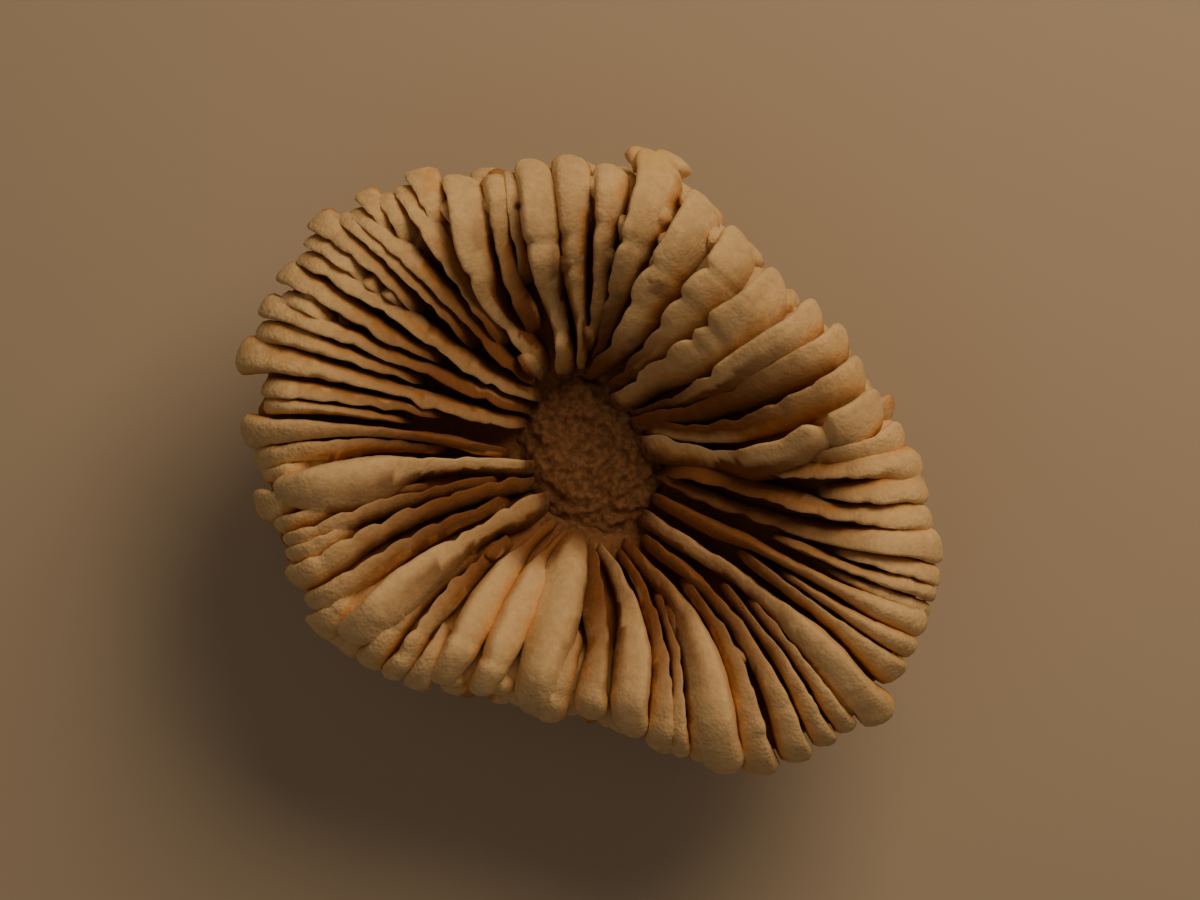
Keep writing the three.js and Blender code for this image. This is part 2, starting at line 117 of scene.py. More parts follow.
# The septa as read from above, counter-clockwise from the east.
SEPTA = (
    Septum("east_1", ((31, 4.6, 1.5), (14, 9.4, 2.2), (4, 14, 1.6), (0.6, 18, 2.4), (1.4, 20, 4.4),
           (4.6, 25, 5.4), (8, 28.8, 5), (10.2, 33.6, 6.6), (12, 38, 4.8)), (29.8,), pale=0.95,
           cut=1.9, sunk=-0.9),
    Septum("northeast_6", ((33, 8, 1.3), (20, 12, 1.5), (14.5, 18, 2.4), (16, 25, 4), (19.6, 37, 4.2))),
    Septum("northeast_5", ((48, 6.6, 1.2), (33, 10.5, 1.4), (26, 17, 2.4), (26.5, 25, 4.4),
           (27, 36.8, 4.4)), (14, 20)),
    Septum("northeast_4", ((52, 7, 1.2), (40, 11, 1.6), (35, 16, 2.8), (34.8, 24, 5),
           (34, 35.3, 4.8)), (13, 18.5)),
    Septum("northeast_3", ((82, 7.6, 1.4), (66, 9.4, 2.6), (57, 14, 3.6), (51, 20, 6.4),
           (48, 26, 7.2), (44.5, 34, 5.4)), (11.5, 16, 20, 22.6), pale=0.8),
    Septum("northeast_2", ((80, 9.4, 1.2), (68, 13.5, 2), (63.5, 18, 3.4), (60.5, 25, 5.2),
           (57.5, 35, 4.8)), (12, 15.5, 19, 23.5, 28.4)),
    Septum("northeast_1", ((95, 10.4, 1.2), (86, 13, 1.8), (78, 17.5, 3.4), (75, 23, 4.6),
           (71, 30, 4.8), (68, 37, 4)), (15, 20.5, 26)),
    Septum("north_east_2", ((91, 12, 1.2), (86, 18, 2.2), (83.5, 24, 3.4), (81, 32, 4.4),
           (79.5, 40.6, 5.4)), (15, 21, 28)),
    Septum("north_east_1", ((93, 14, 1.4), (89.5, 20, 2.2), (88.8, 27, 2.6), (87.5, 38, 3.6)),
           (18, 23, 30), pale=0.3),
    Septum("north_1", ((99, 11.6, 1.6), (95.5, 17, 1.5), (96.6, 22, 2.2), (96.2, 28, 3),
           (96, 34, 3.6), (95, 39.3, 3.8)), (18.4, 24.8, 28.6), pale=0.7),
    Septum("north_2", ((114, 11.4, 1.6), (107.5, 15, 2.4), (105.5, 19.5, 1.6), (107, 25, 3.4),
           (104.8, 31, 5), (102.5, 39.4, 4.4)), (17, 28.5), pale=0.9),
    Septum("north_3", ((118.5, 18, 1.1), (116.4, 26, 1.9), (113.5, 32, 2.4), (109, 38.6, 2.8))),
    Septum("north_5", ((111.5, 24, 1.1), (110, 30, 1.5), (108.5, 34, 1.7), (106.5, 38.5, 2)), sunk=0.8),
    Septum("north_4", ((125, 11.8, 1.6), (125, 17, 2.4), (126, 24, 2.8), (123.8, 30, 4.6),
           (120.7, 35, 5.4), (116.8, 40.8, 5)), (14.8, 19.8, 28), pale=0.5),
    Septum("northwest_1", ((125.3, 35, 1.3), (123.2, 44, 2.4))),
    Septum("northwest_2", ((131, 18, 1.2), (129.3, 27, 1.6), (127.4, 37, 2.8), (126.2, 43, 2.8))),
    Septum("northwest_3", ((132, 36, 1.5), (129.6, 43.8, 2.6))),
    Septum("northwest_4", ((133, 38, 1.4), (132.2, 45.8, 2.2))),
    Septum("northwest_5", ((131, 12, 1.2), (135.3, 18, 1.8), (134.2, 27, 1.9), (135, 44.6, 1.9))),
    Septum("northwest_6", ((139, 21, 1.2), (137.2, 29, 1.6), (136.9, 45.3, 2.1))),
    Septum("northwest_7", ((141.4, 29, 1.3), (140.4, 37, 2), (140.8, 47.8, 3))),
    Septum("northwest_8", ((143.2, 36, 1.4), (143.5, 46.6, 2.6))),
    Septum("northwest_9", ((135, 10, 1.6), (142, 12.6, 2.4), (146, 17, 2.8), (146.4, 23, 2.4),
           (145.4, 28, 2), (146.2, 37, 2.6), (146.5, 46, 1.9)), (16, 25, 33, 41.5), pale=0.5),
    Septum("northwest_10", ((148.8, 23, 1.2), (151, 31, 1.6), (150.2, 47.3, 2.6))),
    Septum("northwest_11", ((153.6, 37, 1.2), (153.4, 45.4, 1.8))),
    Septum("west_1", ((147, 10, 1.4), (152, 14.5, 2.2), (154.2, 21, 1.9), (155, 30, 1.7),
           (156.2, 47.5, 3)), (16, 24, 34)),
    Septum("west_2", ((157.5, 24, 1.2), (158.8, 33, 1.6), (159.8, 46.6, 2.6))),
    Septum("west_3", ((157, 9.6, 1.6), (162.5, 14, 2.6), (163.6, 20, 2), (163, 29, 2),
           (163.8, 38, 2.8), (164.9, 48.2, 3.8)), (14, 25, 37), pale=0.35),
    Septum("west_4", ((166, 20, 1.2), (167.5, 30, 1.6), (168.8, 38, 1.8), (169, 43.8, 2.4))),
    Septum("west_5", ((170, 24, 1.1), (170.2, 35, 1.4), (171.2, 43.2, 2.2))),
    Septum("west_6", ((177, 11, 1.4), (173.4, 17, 1.8), (172.6, 27, 2.2), (173.6, 38, 3),
           (175.2, 46, 3.6))),
    Septum("west_7", ((176, 19, 1.2), (175.6, 29, 1.7), (178, 38, 2.2), (180, 44.2, 3.2)), sunk=1.3),
    Septum("west_8", ((190, 6.4, 1.6), (183.4, 11.4, 2.4), (181.5, 18, 1.9), (181.2, 23, 3.2),
           (182.2, 29, 8), (183.6, 35.5, 7.6), (185.5, 41.6, 4)), (22.6,), pale=1, sunk=-0.5),
    Septum("west_9", ((181, 36, 2), (182.8, 43.2, 2.6)), sunk=2),
    Septum("west_10", ((188, 36, 2.6), (186.4, 44.5, 4.2)), sunk=1.6),
    Septum("southwest_1", ((189.6, 22, 1.1), (189.4, 30, 1.4), (192, 42.4, 2.8)), sunk=1.2),
    Septum("southwest_2", ((192.5, 13, 1.2), (190.8, 21, 1.9), (192.4, 30, 2.4), (195, 41.6, 2.4)),
           (20, 23, 27, 32, 37)),
    Septum("southwest_3", ((195.5, 32, 1.8), (197.6, 41.8, 2.8))),
    Septum("southwest_4", ((201, 8.2, 1.5), (196, 14.5, 2), (195.8, 21, 2.2), (198, 31, 3),
           (201.2, 42.7, 3.6)), (19.6, 24, 28.8, 33, 37.6)),
    Septum("southwest_5", ((206, 12.4, 1.6), (203.3, 20, 2), (204.2, 29, 2.4), (207, 42, 3)),
           (17, 22, 26, 30, 34.5), sunk=0.6),
    Septum("southwest_6", ((223, 6.8, 1.8), (212.6, 11.5, 3), (211.8, 18, 2.6), (211.2, 24, 5.2),
           (211.8, 30.5, 7), (215.4, 40.2, 5.6)), (13, 17, 21), pale=0.5, sunk=-0.3),
    Septum("southwest_7", ((209.6, 35, 2), (210.2, 43.2, 3)), sunk=1.6),
    Septum("south_1", ((219.6, 20, 1.2), (218.8, 27, 1.6), (221.4, 40.6, 2.8)), (23.5, 26, 30, 34), sunk=1),
    Septum("south_2", ((223, 15.5, 2), (221.8, 21, 2.2), (223.4, 30, 2.8), (227, 39.5, 3.2)),
           (20.5, 23, 26, 29.5, 32, 35.5)),
    Septum("south_3", ((228.4, 29, 2), (231, 38.6, 3.4))),
    Septum("south_4", ((239, 9.4, 1.2), (232.5, 14.4, 1.4), (230.2, 19.4, 4.2), (231.2, 25, 5.2),
           (234.6, 36, 3.6)), (29,), cut=0.5),
    Septum("south_5", ((251, 10.8, 1.2), (244, 13.6, 1.4), (241.6, 18, 4), (242, 25, 5),
           (243.6, 34.6, 3.4)), (29.5,), cut=0.5),
    Septum("south_6", ((262, 10.2, 2), (257.8, 14.4, 5.4), (257.2, 19.5, 6.6), (256.6, 26, 6.6),
           (256.2, 34.6, 4.6)), (), sunk=-0.3),
    Septum("south_7", ((265.6, 23, 2.2), (262.8, 27.5, 3.2), (259.8, 35.2, 3.2))),
    Septum("south_8", ((270, 11.8, 1.3), (274.6, 17, 1.8), (273.8, 24, 2.4), (270.3, 34.4, 3.6))),
    Septum("south_9", ((274.6, 11.8, 1.5), (282, 15, 1.7), (285.6, 21, 3), (283, 28, 5.2),
           (278.4, 37, 4.6)), (18,), pale=0.5),
    Septum("south_10", ((287.5, 13, 1.3), (291.8, 18, 1.6), (290.8, 26, 2.4), (287, 34.5, 3.2),
           (283.4, 39.8, 3.4))),
    Septum("south_11", ((296.5, 20, 1.1), (293, 29, 1.5), (286.8, 41, 2.8))),
    Septum("south_12", ((297.4, 21, 1.1), (294.6, 31, 1.5), (290, 42.5, 2.4)), sunk=1.2),
    Septum("southeast_1", ((291, 12, 1.5), (297.5, 16.5, 2), (301.6, 23, 3), (300, 30, 5.2),
           (296.6, 37, 6.4), (293.4, 45.2, 5.4)), (17, 23)),
    Septum("southeast_2", ((307.6, 20, 1.2), (306.8, 30, 1.9), (302.5, 40, 2.4), (298.6, 47.6, 3.8))),
    Septum("southeast_3", ((303.5, 12.6, 1.4), (310.4, 20, 2), (311.2, 29, 2.2), (308.6, 39, 3),
           (305, 48.6, 3.8)), (16.5, 21)),
    Septum("southeast_4", ((316.4, 24, 1.1), (313.6, 36, 1.6), (309.8, 49, 2.8))),
    Septum("southeast_5", ((318.4, 28, 1.1), (315.6, 40, 1.7), (313.4, 49.3, 2.8))),
    Septum("southeast_6", ((311.5, 9.6, 1.8), (317, 15, 2.4), (320.8, 23, 2), (321.2, 31, 2.6),
           (320.6, 40, 4.8), (318.3, 51.8, 4)), (14, 18.6, 25.5), pale=0.45),
    Septum("southeast_7", ((327.4, 23, 1.1), (326, 38, 1.6), (325.2, 49.5, 2.8))),
    Septum("southeast_10", ((318.6, 33, 1.1), (317, 40, 1.6), (315.3, 48.2, 2.4)), sunk=1.5),
    Septum("southeast_11", ((333.6, 34, 1.2), (334, 42, 1.7), (334.6, 48.6, 2.6)), sunk=1.0),
    Septum("southeast_8", ((328.4, 29, 1.2), (328.2, 40, 1.8), (328.9, 49.3, 3))),
    Septum("southeast_9", ((327, 9.4, 1.5), (329.2, 17, 1.9), (331, 28, 1.8), (331.6, 39, 2.8),
           (332.4, 49, 4.4))),
    Septum("east_5", ((335.2, 26, 1.1), (335.6, 38, 1.6), (337.4, 48.5, 2.4))),
    Septum("east_4", ((337.6, 34, 1.3), (339.6, 48.2, 2.4))),
    Septum("east_3", ((342, 8, 1.5), (337.2, 14, 1.9), (338.2, 23, 1.8), (340, 34, 2.8),
           (343.6, 47.5, 5))),
    Septum("east_2", ((345, 9.8, 1.3), (345.3, 19, 1.5), (344.8, 29, 2), (346.2, 38, 3),
           (348.5, 45.3, 3.6))),
    Septum("east_7", ((349.4, 30, 1.6), (350.4, 37, 3.4), (352.8, 44.2, 4.2))),
    Septum("east_8", ((356, 17.5, 1.3), (353.7, 27, 2), (356, 36, 3), (359.4, 42.8, 3.6))),
    Septum("east_9", ((0, 27, 1.4), (3, 35, 2.6), (5.2, 40.5, 3.6))),
)

# Small rounded knobs that grow beside the petals: (bearing, radius, width, depth under the crest).
KNOBS = (
    (76.4, 33.6, 2.8, -0.8), (71.6, 30.4, 2.6, -0.8), (72.6, 27.2, 2.2, -0.4), (79.6, 32.2, 2.4, -0.9),
    (69.6, 36.6, 3, -0.5), (82.6, 31.4, 2.2, -0.6), (66.4, 33.6, 2.6, 1), (61, 33.8, 2.4, 0.8),
    (54.6, 34.6, 2.6, 1.4), (77.4, 41, 3.8, 0.8),
    (81.8, 40.9, 3.4, 1.4), (92.6, 17.4, 1.9, 0.6), (96.8, 26.6, 2.2, -0.3), (86.4, 27.4, 2, 0.3),
    (10.6, 40, 2.4, 1.6), (134.2, 38, 1.8, 0.2), (222.6, 19.6, 2.2, -0.2), (230, 37.4, 2.8, 0.6),
    (189.2, 31.4, 1.6, 0.4), (306.4, 33.6, 1.8, 0.2), (284.6, 40.2, 2.4, 1.2), (247.4, 33.6, 2.6, 1.6),
    (236.6, 35.6, 2.6, 1.4), (104.6, 37.2, 2.2, 1.2), (40.4, 33.4, 2.6, 1.8), (127.4, 16.4, 2.2, 0.2),
    (133.4, 37.2, 2, -0.3), (142.2, 34.6, 2.3, -0.4), (142.9, 37.4, 2.5, -0.4), (141.8, 41.6, 2.8, 0),
    (155.8, 42.4, 2, 0.1), (151.1, 43.4, 2.2, -0.1), (129.4, 40.6, 2.4, 0.2), (121.4, 38.2, 2.4, 0),
    (112.6, 36.4, 2.2, 0.1), (99.4, 36.8, 2.4, 0.1), (89.4, 36.4, 2.6, 0), (168.2, 41.6, 2, 0.2),
)

# Round lobes of the outer wall between and below the tips: (bearing, reach, width).
WALL_LOBES = (
    (5, 40.6, 3.2), (10.5, 40, 3.4), (14.5, 38, 3), (20, 37, 3.2), (26, 36.8, 3.4),
    (33, 35.3, 3.2), (39, 34.4, 3.4), (44, 33.9, 3), (50.5, 33.7, 4), (56.5, 35, 3.2),
    (61.5, 35, 3), (67.5, 37, 3.2), (73.5, 38.1, 4), (84.5, 38.4, 3), (91.5, 38.7, 3.6),
    (98.8, 38.4, 3), (105.5, 38.8, 3), (112.5, 40.6, 3.6), (214, 42.6, 3), (217, 42.2, 2.6),
    (237.5, 36.8, 3.6), (248.5, 35.1, 3.6), (253, 34.6, 3), (258, 35.4, 3), (265, 34.2, 4),
    (274, 36, 3.4),
)


def on_polyline(pairs: tuple, x: np.ndarray) -> np.ndarray:
    """Values at x on the polyline through the pairs, held level past both ends.

    Args:
        pairs: (x, value) pairs in rising x.
        x: Places to read.

    Returns:
        One value for each x.
    """
    table = np.array(pairs, dtype=float)
    return np.interp(x, table[:, 0], table[:, 1])


def round_the_circle(pairs: tuple, bearing: np.ndarray) -> np.ndarray:
    """Values at the bearings on a closed curve through (bearing, value) pairs.

    Args:
        pairs: (bearing, value) pairs in rising bearing, from 0 to 360.
        bearing: Bearings in degrees, any turn.

    Returns:
        One value for each bearing.
    """
    table = np.array(pairs, dtype=float)
    turned = np.concatenate([table[-1:] - [360, 0], table, table[:1] + [360, 0]])
    return np.interp(np.mod(bearing, 360), turned[:, 0], turned[:, 1])


def rim_radius(bearing: np.ndarray) -> np.ndarray:
    """Radius of the wall's rim at the bearings, rounded over a few degrees."""
    spread = (-8, -4, 0, 4, 8)
    return sum(round_the_circle(RIM_OUTLINE, bearing + turn) for turn in spread) / len(spread)


def crest_height(bearing: np.ndarray, radius: np.ndarray) -> np.ndarray:
    """Height of a full septum's free edge at these places.

    Args:
        bearing: Bearings in degrees.
        radius: Distances from the axis.

    Returns:
        Heights above the cut base.
    """
    share = radius / (rim_radius(bearing) + TIP_OVERHANG)
    spread = (-0.03, 0.0, 0.03)
    return sum(on_polyline(CREST_PROFILE, share + step) for step in spread) / len(spread)


def plane_point(bearing: float, radius: float) -> np.ndarray:
    """Plan position of a bearing and radius."""
    angle = math.radians(bearing)
    return np.array([radius * math.cos(angle), radius * math.sin(angle)])


def bearings_of(places: np.ndarray) -> np.ndarray:
    """Bearings of plan positions, in degrees from 0 to 360."""
    return np.mod(np.degrees(np.arctan2(places[:, 1], places[:, 0])), 360)


def share_between(values: np.ndarray, start: float, end: float) -> np.ndarray:
    """How far each value lies on the way from start to end, held between 0 and 1."""
    return np.clip((values - start) / (end - start), 0, 1)


def eased(share: float | np.ndarray) -> float | np.ndarray:
    """A share from 0 to 1 with a soft start and end."""
    return share * share * (3 - 2 * share)


def quarter_round(share: np.ndarray) -> np.ndarray:
    """Height of a quarter circle at shares of its radius."""
    return np.sqrt(1 - (1 - share) ** 2)


def make_mesh(name: str, corners: np.ndarray, faces: list) -> bpy.types.Object:
    """A mesh object at the origin whose faces point outwards.

    Args:
        name: Object name.
        corners: Corner positions in millimetres.
        faces: Lists of corner indices.

    Returns:
        The new object, linked to the scene.
    """
    mesh = bpy.data.meshes.new(name)
    mesh.from_pydata([tuple(c) for c in corners * MM], [], faces)
    shell = bmesh.new()
    shell.from_mesh(mesh)
    if shell.calc_volume(signed=True) < 0:
        bmesh.ops.reverse_faces(shell, faces=shell.faces)
    shell.to_mesh(mesh)
    shell.free()
    return plain_object(name, mesh)


def loft(name: str, rings: np.ndarray, first: np.ndarray, last: np.ndarray) -> bpy.types.Object:
    """A closed tube through rings, each end drawn in to a point.

    Args:
        name: Object name.
        rings: Ring corners, shaped (rings, corners, 3).
        first: Point that closes the first ring.
        last: Point that closes the last ring.

    Returns:
        The closed solid.
    """
    count, around = rings.shape[:2]
    faces = []
    for i in range(count - 1):
        low = i * around
        high = low + around
        for j in range(around):
            k = (j + 1) % around
            faces.append((low + j, low + k, high + k, high + j))
    start = count * around
    end = start + 1
    top = start - around
    for j in range(around):
        k = (j + 1) % around
        faces.append((start, k, j))
        faces.append((end, top + j, top + k))
    corners = np.concatenate([rings.reshape(-1, 3), first[None], last[None]])
    return make_mesh(name, corners, faces)


@dataclass(frozen=True)
class CrestPath:
    """Stations along one crest in plan: places, directions, widths and distances."""

    places: np.ndarray
    along: np.ndarray
    widths: np.ndarray
    from_root: np.ndarray
    from_tip: np.ndarray

    def outward(self) -> np.ndarray:
        """How far out each station lies, as a share of the way from the axis to the tips."""
        reach = rim_radius(bearings_of(self.places)) + TIP_OVERHANG
        return np.linalg.norm(self.places, axis=1) / reach

    @staticmethod
    def through(septum: Septum, step: float, root_round: float, tip_round: float) -> "CrestPath":
        """A smooth path through a septum's crest points, with closer stations at its ends.

        Args:
            septum: The plate to follow.
            step: Distance between stations along the middle of the path.
            root_round: Length over which the inner end is rounded.
            tip_round: Length over which the outer end is rounded.

        Returns:
            The stations, from the inner end to the outer one, without the two end points.
        """
        fine_cuts = 24
        end_bends = (14, 32, 50, 68, 86)
        least_gap = 0.04
        look_ahead = 0.4
        points = np.array([[*plane_point(b, r), w] for b, r, w in septum.crest])
        dense = catmull_rom(points, fine_cuts)
        gaps = np.linalg.norm(np.diff(dense[:, :2], axis=0), axis=1)
        run = np.concatenate([[0.0], np.cumsum(gaps)])
        length = run[-1]
        bends = 1 - np.cos(np.radians(end_bends))
        stations = np.concatenate([
            root_round * bends,
            np.linspace(root_round, length - tip_round, max(int(length / step), 3))[1:-1],
            length - (tip_round * bends)[::-1],
        ])
        stations = np.unique(np.clip(stations, least_gap / 2, length - least_gap / 2))
        stations = stations[np.concatenate([[True], np.diff(stations) > least_gap])]
        places, ahead, behind = (
            np.stack([np.interp(stations + step_on, run, dense[:, k]) for k in (0, 1)], axis=1)
            for step_on in (0.0, look_ahead, -look_ahead)
        )
        along = ahead - behind
        along /= np.linalg.norm(along, axis=1)[:, None]
        widths = np.interp(stations, run, dense[:, 2])
        return CrestPath(places, along, widths, stations, length - stations)


def catmull_rom(points: np.ndarray, cuts: int) -> np.ndarray:
    """Points on a Catmull-Rom curve that passes through all the given ones.

    Args:
        points: Control points, one a row.
        cuts: Steps between two control points.

    Returns:
        The points on the curve, the last control point included.
    """
    held = np.concatenate([2 * points[:1] - points[1:2], points, 2 * points[-1:] - points[-2:-1]])
    shares = np.linspace(0, 1, cuts, endpoint=False)[:, None]
    rows = []
    for i in range(len(points) - 1):
        a, b, c, d = held[i:i + 4]
        rows.append(0.5 * (
            2 * b + (c - a) * shares
            + (2 * a - 5 * b + 4 * c - d) * shares ** 2
            + (3 * b - a - 3 * c + d) * shares ** 3
        ))
    return np.concatenate([*rows, points[-1:]])


@dataclass(frozen=True)
class Plates:
    """The radiating septa: a crest over a flank that swells to fill the room up to its neighbours.

    Where a plate leans, the flank on the falling side is a broad slope, like a leaf laid on the
    next one. Lower down the plate thins to a blade, and outside the wall it ends in a rib. A slim
    plate never swells into a petal. Where a field holds a value for each, the petals' comes first.
    """

    slim_width: float = 4.5
    slim_sunk: float = 0.9
    steps: tuple = (0.66, 0.76)
    seed: int = 11
    # The section: a rounded cap, a belly, a flank that thins to a blade, and a rib.
    cap_angles: tuple = ((74, 55, 37, 18), (66, 40, 15))
    cap_share: float = 0.7
    cap_extra: float = 0.15
    ridge_power: float = 1.16
    belly_shares: tuple = (1, 0.5)
    belly_share: float = 1.15
    belly_extra: float = 0.8
    flank_shares: tuple = (1, 0.6)
    flank_share: float = 2.1
    flank_extra: float = 1.0
    flank_steps: tuple = ((0.35, 0.7, 1.0), (0.5, 1.0))
    deepest: tuple = (0.3, 0.6, 0.85)
    blade: float = 0.9
    blade_share: float = 0.62
    rib_share: float = 0.36
    rib_halves: tuple = (0.5, 1.2)
    rib_depth: float = 1.2
    rib_gap: float = 0.05
    rib_end: tuple = (0.6, 0.3)
    low_plate: float = 3.0
    flattest: float = 0.3
    flute: float = 0.16
    blunt_length: float = 6.0
    blunt: tuple = (0.42, 0.36)
    sharpened: float = 0.42
    finger: tuple = (0.7, 0.86)
    # How it swells into the room beside it.
    fill: tuple = (0.88, 1.14)
    fill_band: float = 0.14
    most_swell: tuple = (0.6, 0.7)
    swell_depth: float = 1.5
    petal_swell: float = 0.05
    lean_saves: float = 0.6
    # How it leans: its root stands to one side of its crest.
    face_share: float = 0.66
    face_slope: float = 1.25
    full_lean: float = 0.34
    tilt_gain: float = 3.3
    tilt_thins: tuple = (1.3, 0.15)
    tilt_reach: tuple = (0.9, 0.34)
    tilt_fade: float = 5.0
    tilt_power: float = 0.8
    straightened: float = 0.75
    least_shift: float = 0.4
    skew: float = 0.12
    skew_depth: float = 0.4
    # Its foot: the wall's outside, the rib and the underside of the free tip.
    rib_relief: float = 1.7
    wall_foot: float = 0.56
    wall_height: float = 28.5
    rib_cover: float = 6.0
    buried: float = 3.0
    undercut: float = 2.0
    undercut_power: float = 0.85
    thinnest: float = 0.4
    # The two ends of its crest and the course between them.
    tip_round: tuple = (0.5, 0.9)
    least_end: float = 0.1
    nose_drop: float = 3.4
    petal_nose: float = 7.0
    root_round: float = 2.0
    root_length: float = 4.6
    root_fall: float = 5.6
    shoulder_drop: float = 5.0
    shoulder_width: float = 1.5
    shoulder_share: float = 0.75
    slim_inner_drop: float = 2.6
    slim_inner_end: float = 0.2
    # Lobes and teeth of the free edge.
    lobe_lengths: tuple = (2.2, 6.0)
    most_lobes: int = 24
    lobed_shares: tuple = (0.42, 0.85)
    lobe_rise: float = 1.1
    lobe_fall: float = 2.4
    lobe_powers: tuple = (2.0, 1.6)
    dip: tuple = (0.3, 0.16)
    highest_dip: float = -0.6
    deepest_dip: float = 0.3
    chance_cut: tuple = (0.6, 0.4)
    tooth_seed: int = 7
    tooth_height: float = 0.13
    tooth_length: float = 1.5
    smooth_tip: tuple = (0.62, 0.82)
    smoothness: float = 0.7
    # What the finish is told: browning and deepening, both partly painted shade, and grain.
    bowl: tuple = (0.5, 0.88)
    petal_bowl: tuple = (0.3, 0.38)
    deepen: tuple = (-0.1, 0.27, 0.2)
    grain_band: tuple = (0.72, 0.86)
    petal_grain: float = 0.35

    def is_slim(self, septum: Septum) -> bool:
        """Whether the plate never swells into a petal."""
        return septum.widest < self.slim_width

    def rib_height(self, bearing: np.ndarray, radius: np.ndarray) -> np.ndarray:
        """Lowest point of a rib: it follows the outside of the wall, standing proud of it.

        Args:
            bearing: Bearings in degrees.
            radius: Distances from the axis.

        Returns:
            Heights above the cut base.
        """
        share = (radius - self.rib_relief) / rim_radius(bearing)
        climb = (share - self.wall_foot) / (1 - self.wall_foot)
        return np.clip(climb * self.wall_height, 0.0, self.wall_height)

    def dips(self, septum: Septum, path: CrestPath) -> np.ndarray:
        """How far the crest lies in a dip between two lobes, from 0 to 1.

        Args:
            septum: The plate.
            path: Its stations.

        Returns:
            One share for each station.
        """
        length = path.from_root[-1] + path.from_tip[-1]
        if septum.notches is not None:
            radii = np.linalg.norm(path.places, axis=1)
            cuts = np.interp(septum.notches, radii, path.from_root)
        else:
            draw = np.random.default_rng([self.seed, *septum.name.encode()])
            cuts = np.cumsum(draw.uniform(*self.lobe_lengths, self.most_lobes))
            cuts = cuts[cuts < length * self.lobed_shares[self.is_slim(septum)]]
        inner_power, outer_power = self.lobe_powers
        share = np.zeros(len(path.from_root))
        for cut in cuts:
            before = 1 - np.clip((cut - path.from_root) / self.lobe_fall, 0, 1)
            after = 1 - np.clip((path.from_root - cut) / self.lobe_rise, 0, 1)
            side = np.where(path.from_root < cut, before ** inner_power, after ** outer_power)
            share = np.maximum(share, side)
        return share

    def teeth(self, septum: Septum, path: CrestPath) -> np.ndarray:
        """Small uneven teeth: how far the crest stands above or below its mean.

        Args:
            septum: The plate.
            path: Its stations.

        Returns:
            One height for each station.
        """
        draw = np.random.default_rng([self.seed, self.tooth_seed, *septum.name.encode()])
        length = path.from_root[-1] + path.from_tip[-1]
        knots = np.arange(0.0, length + 2 * self.tooth_length, self.tooth_length)
        uneven = np.interp(path.from_root, knots, draw.normal(0.0, self.tooth_height, len(knots)))
        return uneven * (1 - self.smoothness * share_between(path.outward(), *self.smooth_tip))

    def thin_share(self, septum: Septum, path: CrestPath) -> np.ndarray:
        """How far each station belongs to the thin inner stretch of a petal, from 0 to 1.

        Args:
            septum: The plate.
            path: Its stations.

        Returns:
            One share for each station.
        """
        full = self.shoulder_share * septum.widest
        grown = share_between(path.widths, self.shoulder_width, full)
        inside = np.arange(len(grown)) < int(np.argmax(path.widths))
        return np.where(inside, 1 - eased(grown), 0.0)

    def crest_share(self, septum: Septum, path: CrestPath) -> np.ndarray:
        """How much of its full width the crest keeps: a slim septum is sharper behind its tip.

        Args:
            septum: The plate.
            path: Its stations.

        Returns:
            One share for each station.
        """
        if septum.order is not Order.PLATE or not self.is_slim(septum):
            return np.ones(len(path.widths))
        low, high = self.finger
        return 1 - self.sharpened * share_between(path.outward(), high, low)

    def shoulder(self, septum: Septum, path: CrestPath) -> np.ndarray:
        """How much lower the inner stretch runs than the outer one.

        Args:
            septum: The plate.
            path: Its stations.

        Returns:
            One drop for each station.
        """
        if septum.order is not Order.PLATE:
            return np.zeros(len(path.widths))
        if self.is_slim(septum):
            inner = share_between(path.outward(), self.bowl[1], self.slim_inner_end)
            return self.slim_inner_drop * inner
        return self.shoulder_drop * self.thin_share(septum, path)

    def shade(self, septum: Septum, path: CrestPath) -> np.ndarray:
        """How brown the plate is towards the centre, from 0 to 1: partly staining, partly painted shade of
        the bowl.

        Args:
            septum: The plate.
            path: Its stations.

        Returns:
            One share for each station.
        """
        low, high = self.bowl if self.is_slim(septum) else self.petal_bowl
        brown = share_between(path.outward(), high, low)
        if not self.is_slim(septum):
            brown = np.maximum(brown, self.thin_share(septum, path))
        return brown * (1 - septum.pale)

    def rounded_ends(self, path: CrestPath) -> np.ndarray:
        """How much of its width each station keeps beside the two rounded ends.

        Args:
            path: Stations of the plate.

        Returns:
            One share for each station.
        """
        share, least = self.tip_round
        round_tip = np.clip(path.from_tip / np.maximum(path.widths * share, least), 0, 1)
        round_root = np.clip(path.from_root / self.root_round, 0, 1)
        return np.clip(quarter_round(round_tip) * quarter_round(round_root), self.least_end, 1)

    def leaning(self, path: CrestPath) -> tuple:
        """How the plate leans at each station.

        Args:
            path: Stations of the plate.

        Returns:
            The lean, how much of it acts there, and how far it counts as a full lean.
        """
        lean = round_the_circle(LEAN_BY_BEARING, bearings_of(path.places))
        upright = 1 - np.clip(path.from_tip / self.tilt_fade, 0, 1) ** self.tilt_power
        swing = 1 - self.straightened * upright
        return lean, swing, np.clip(np.abs(lean) / self.full_lean, 0, 1) * swing

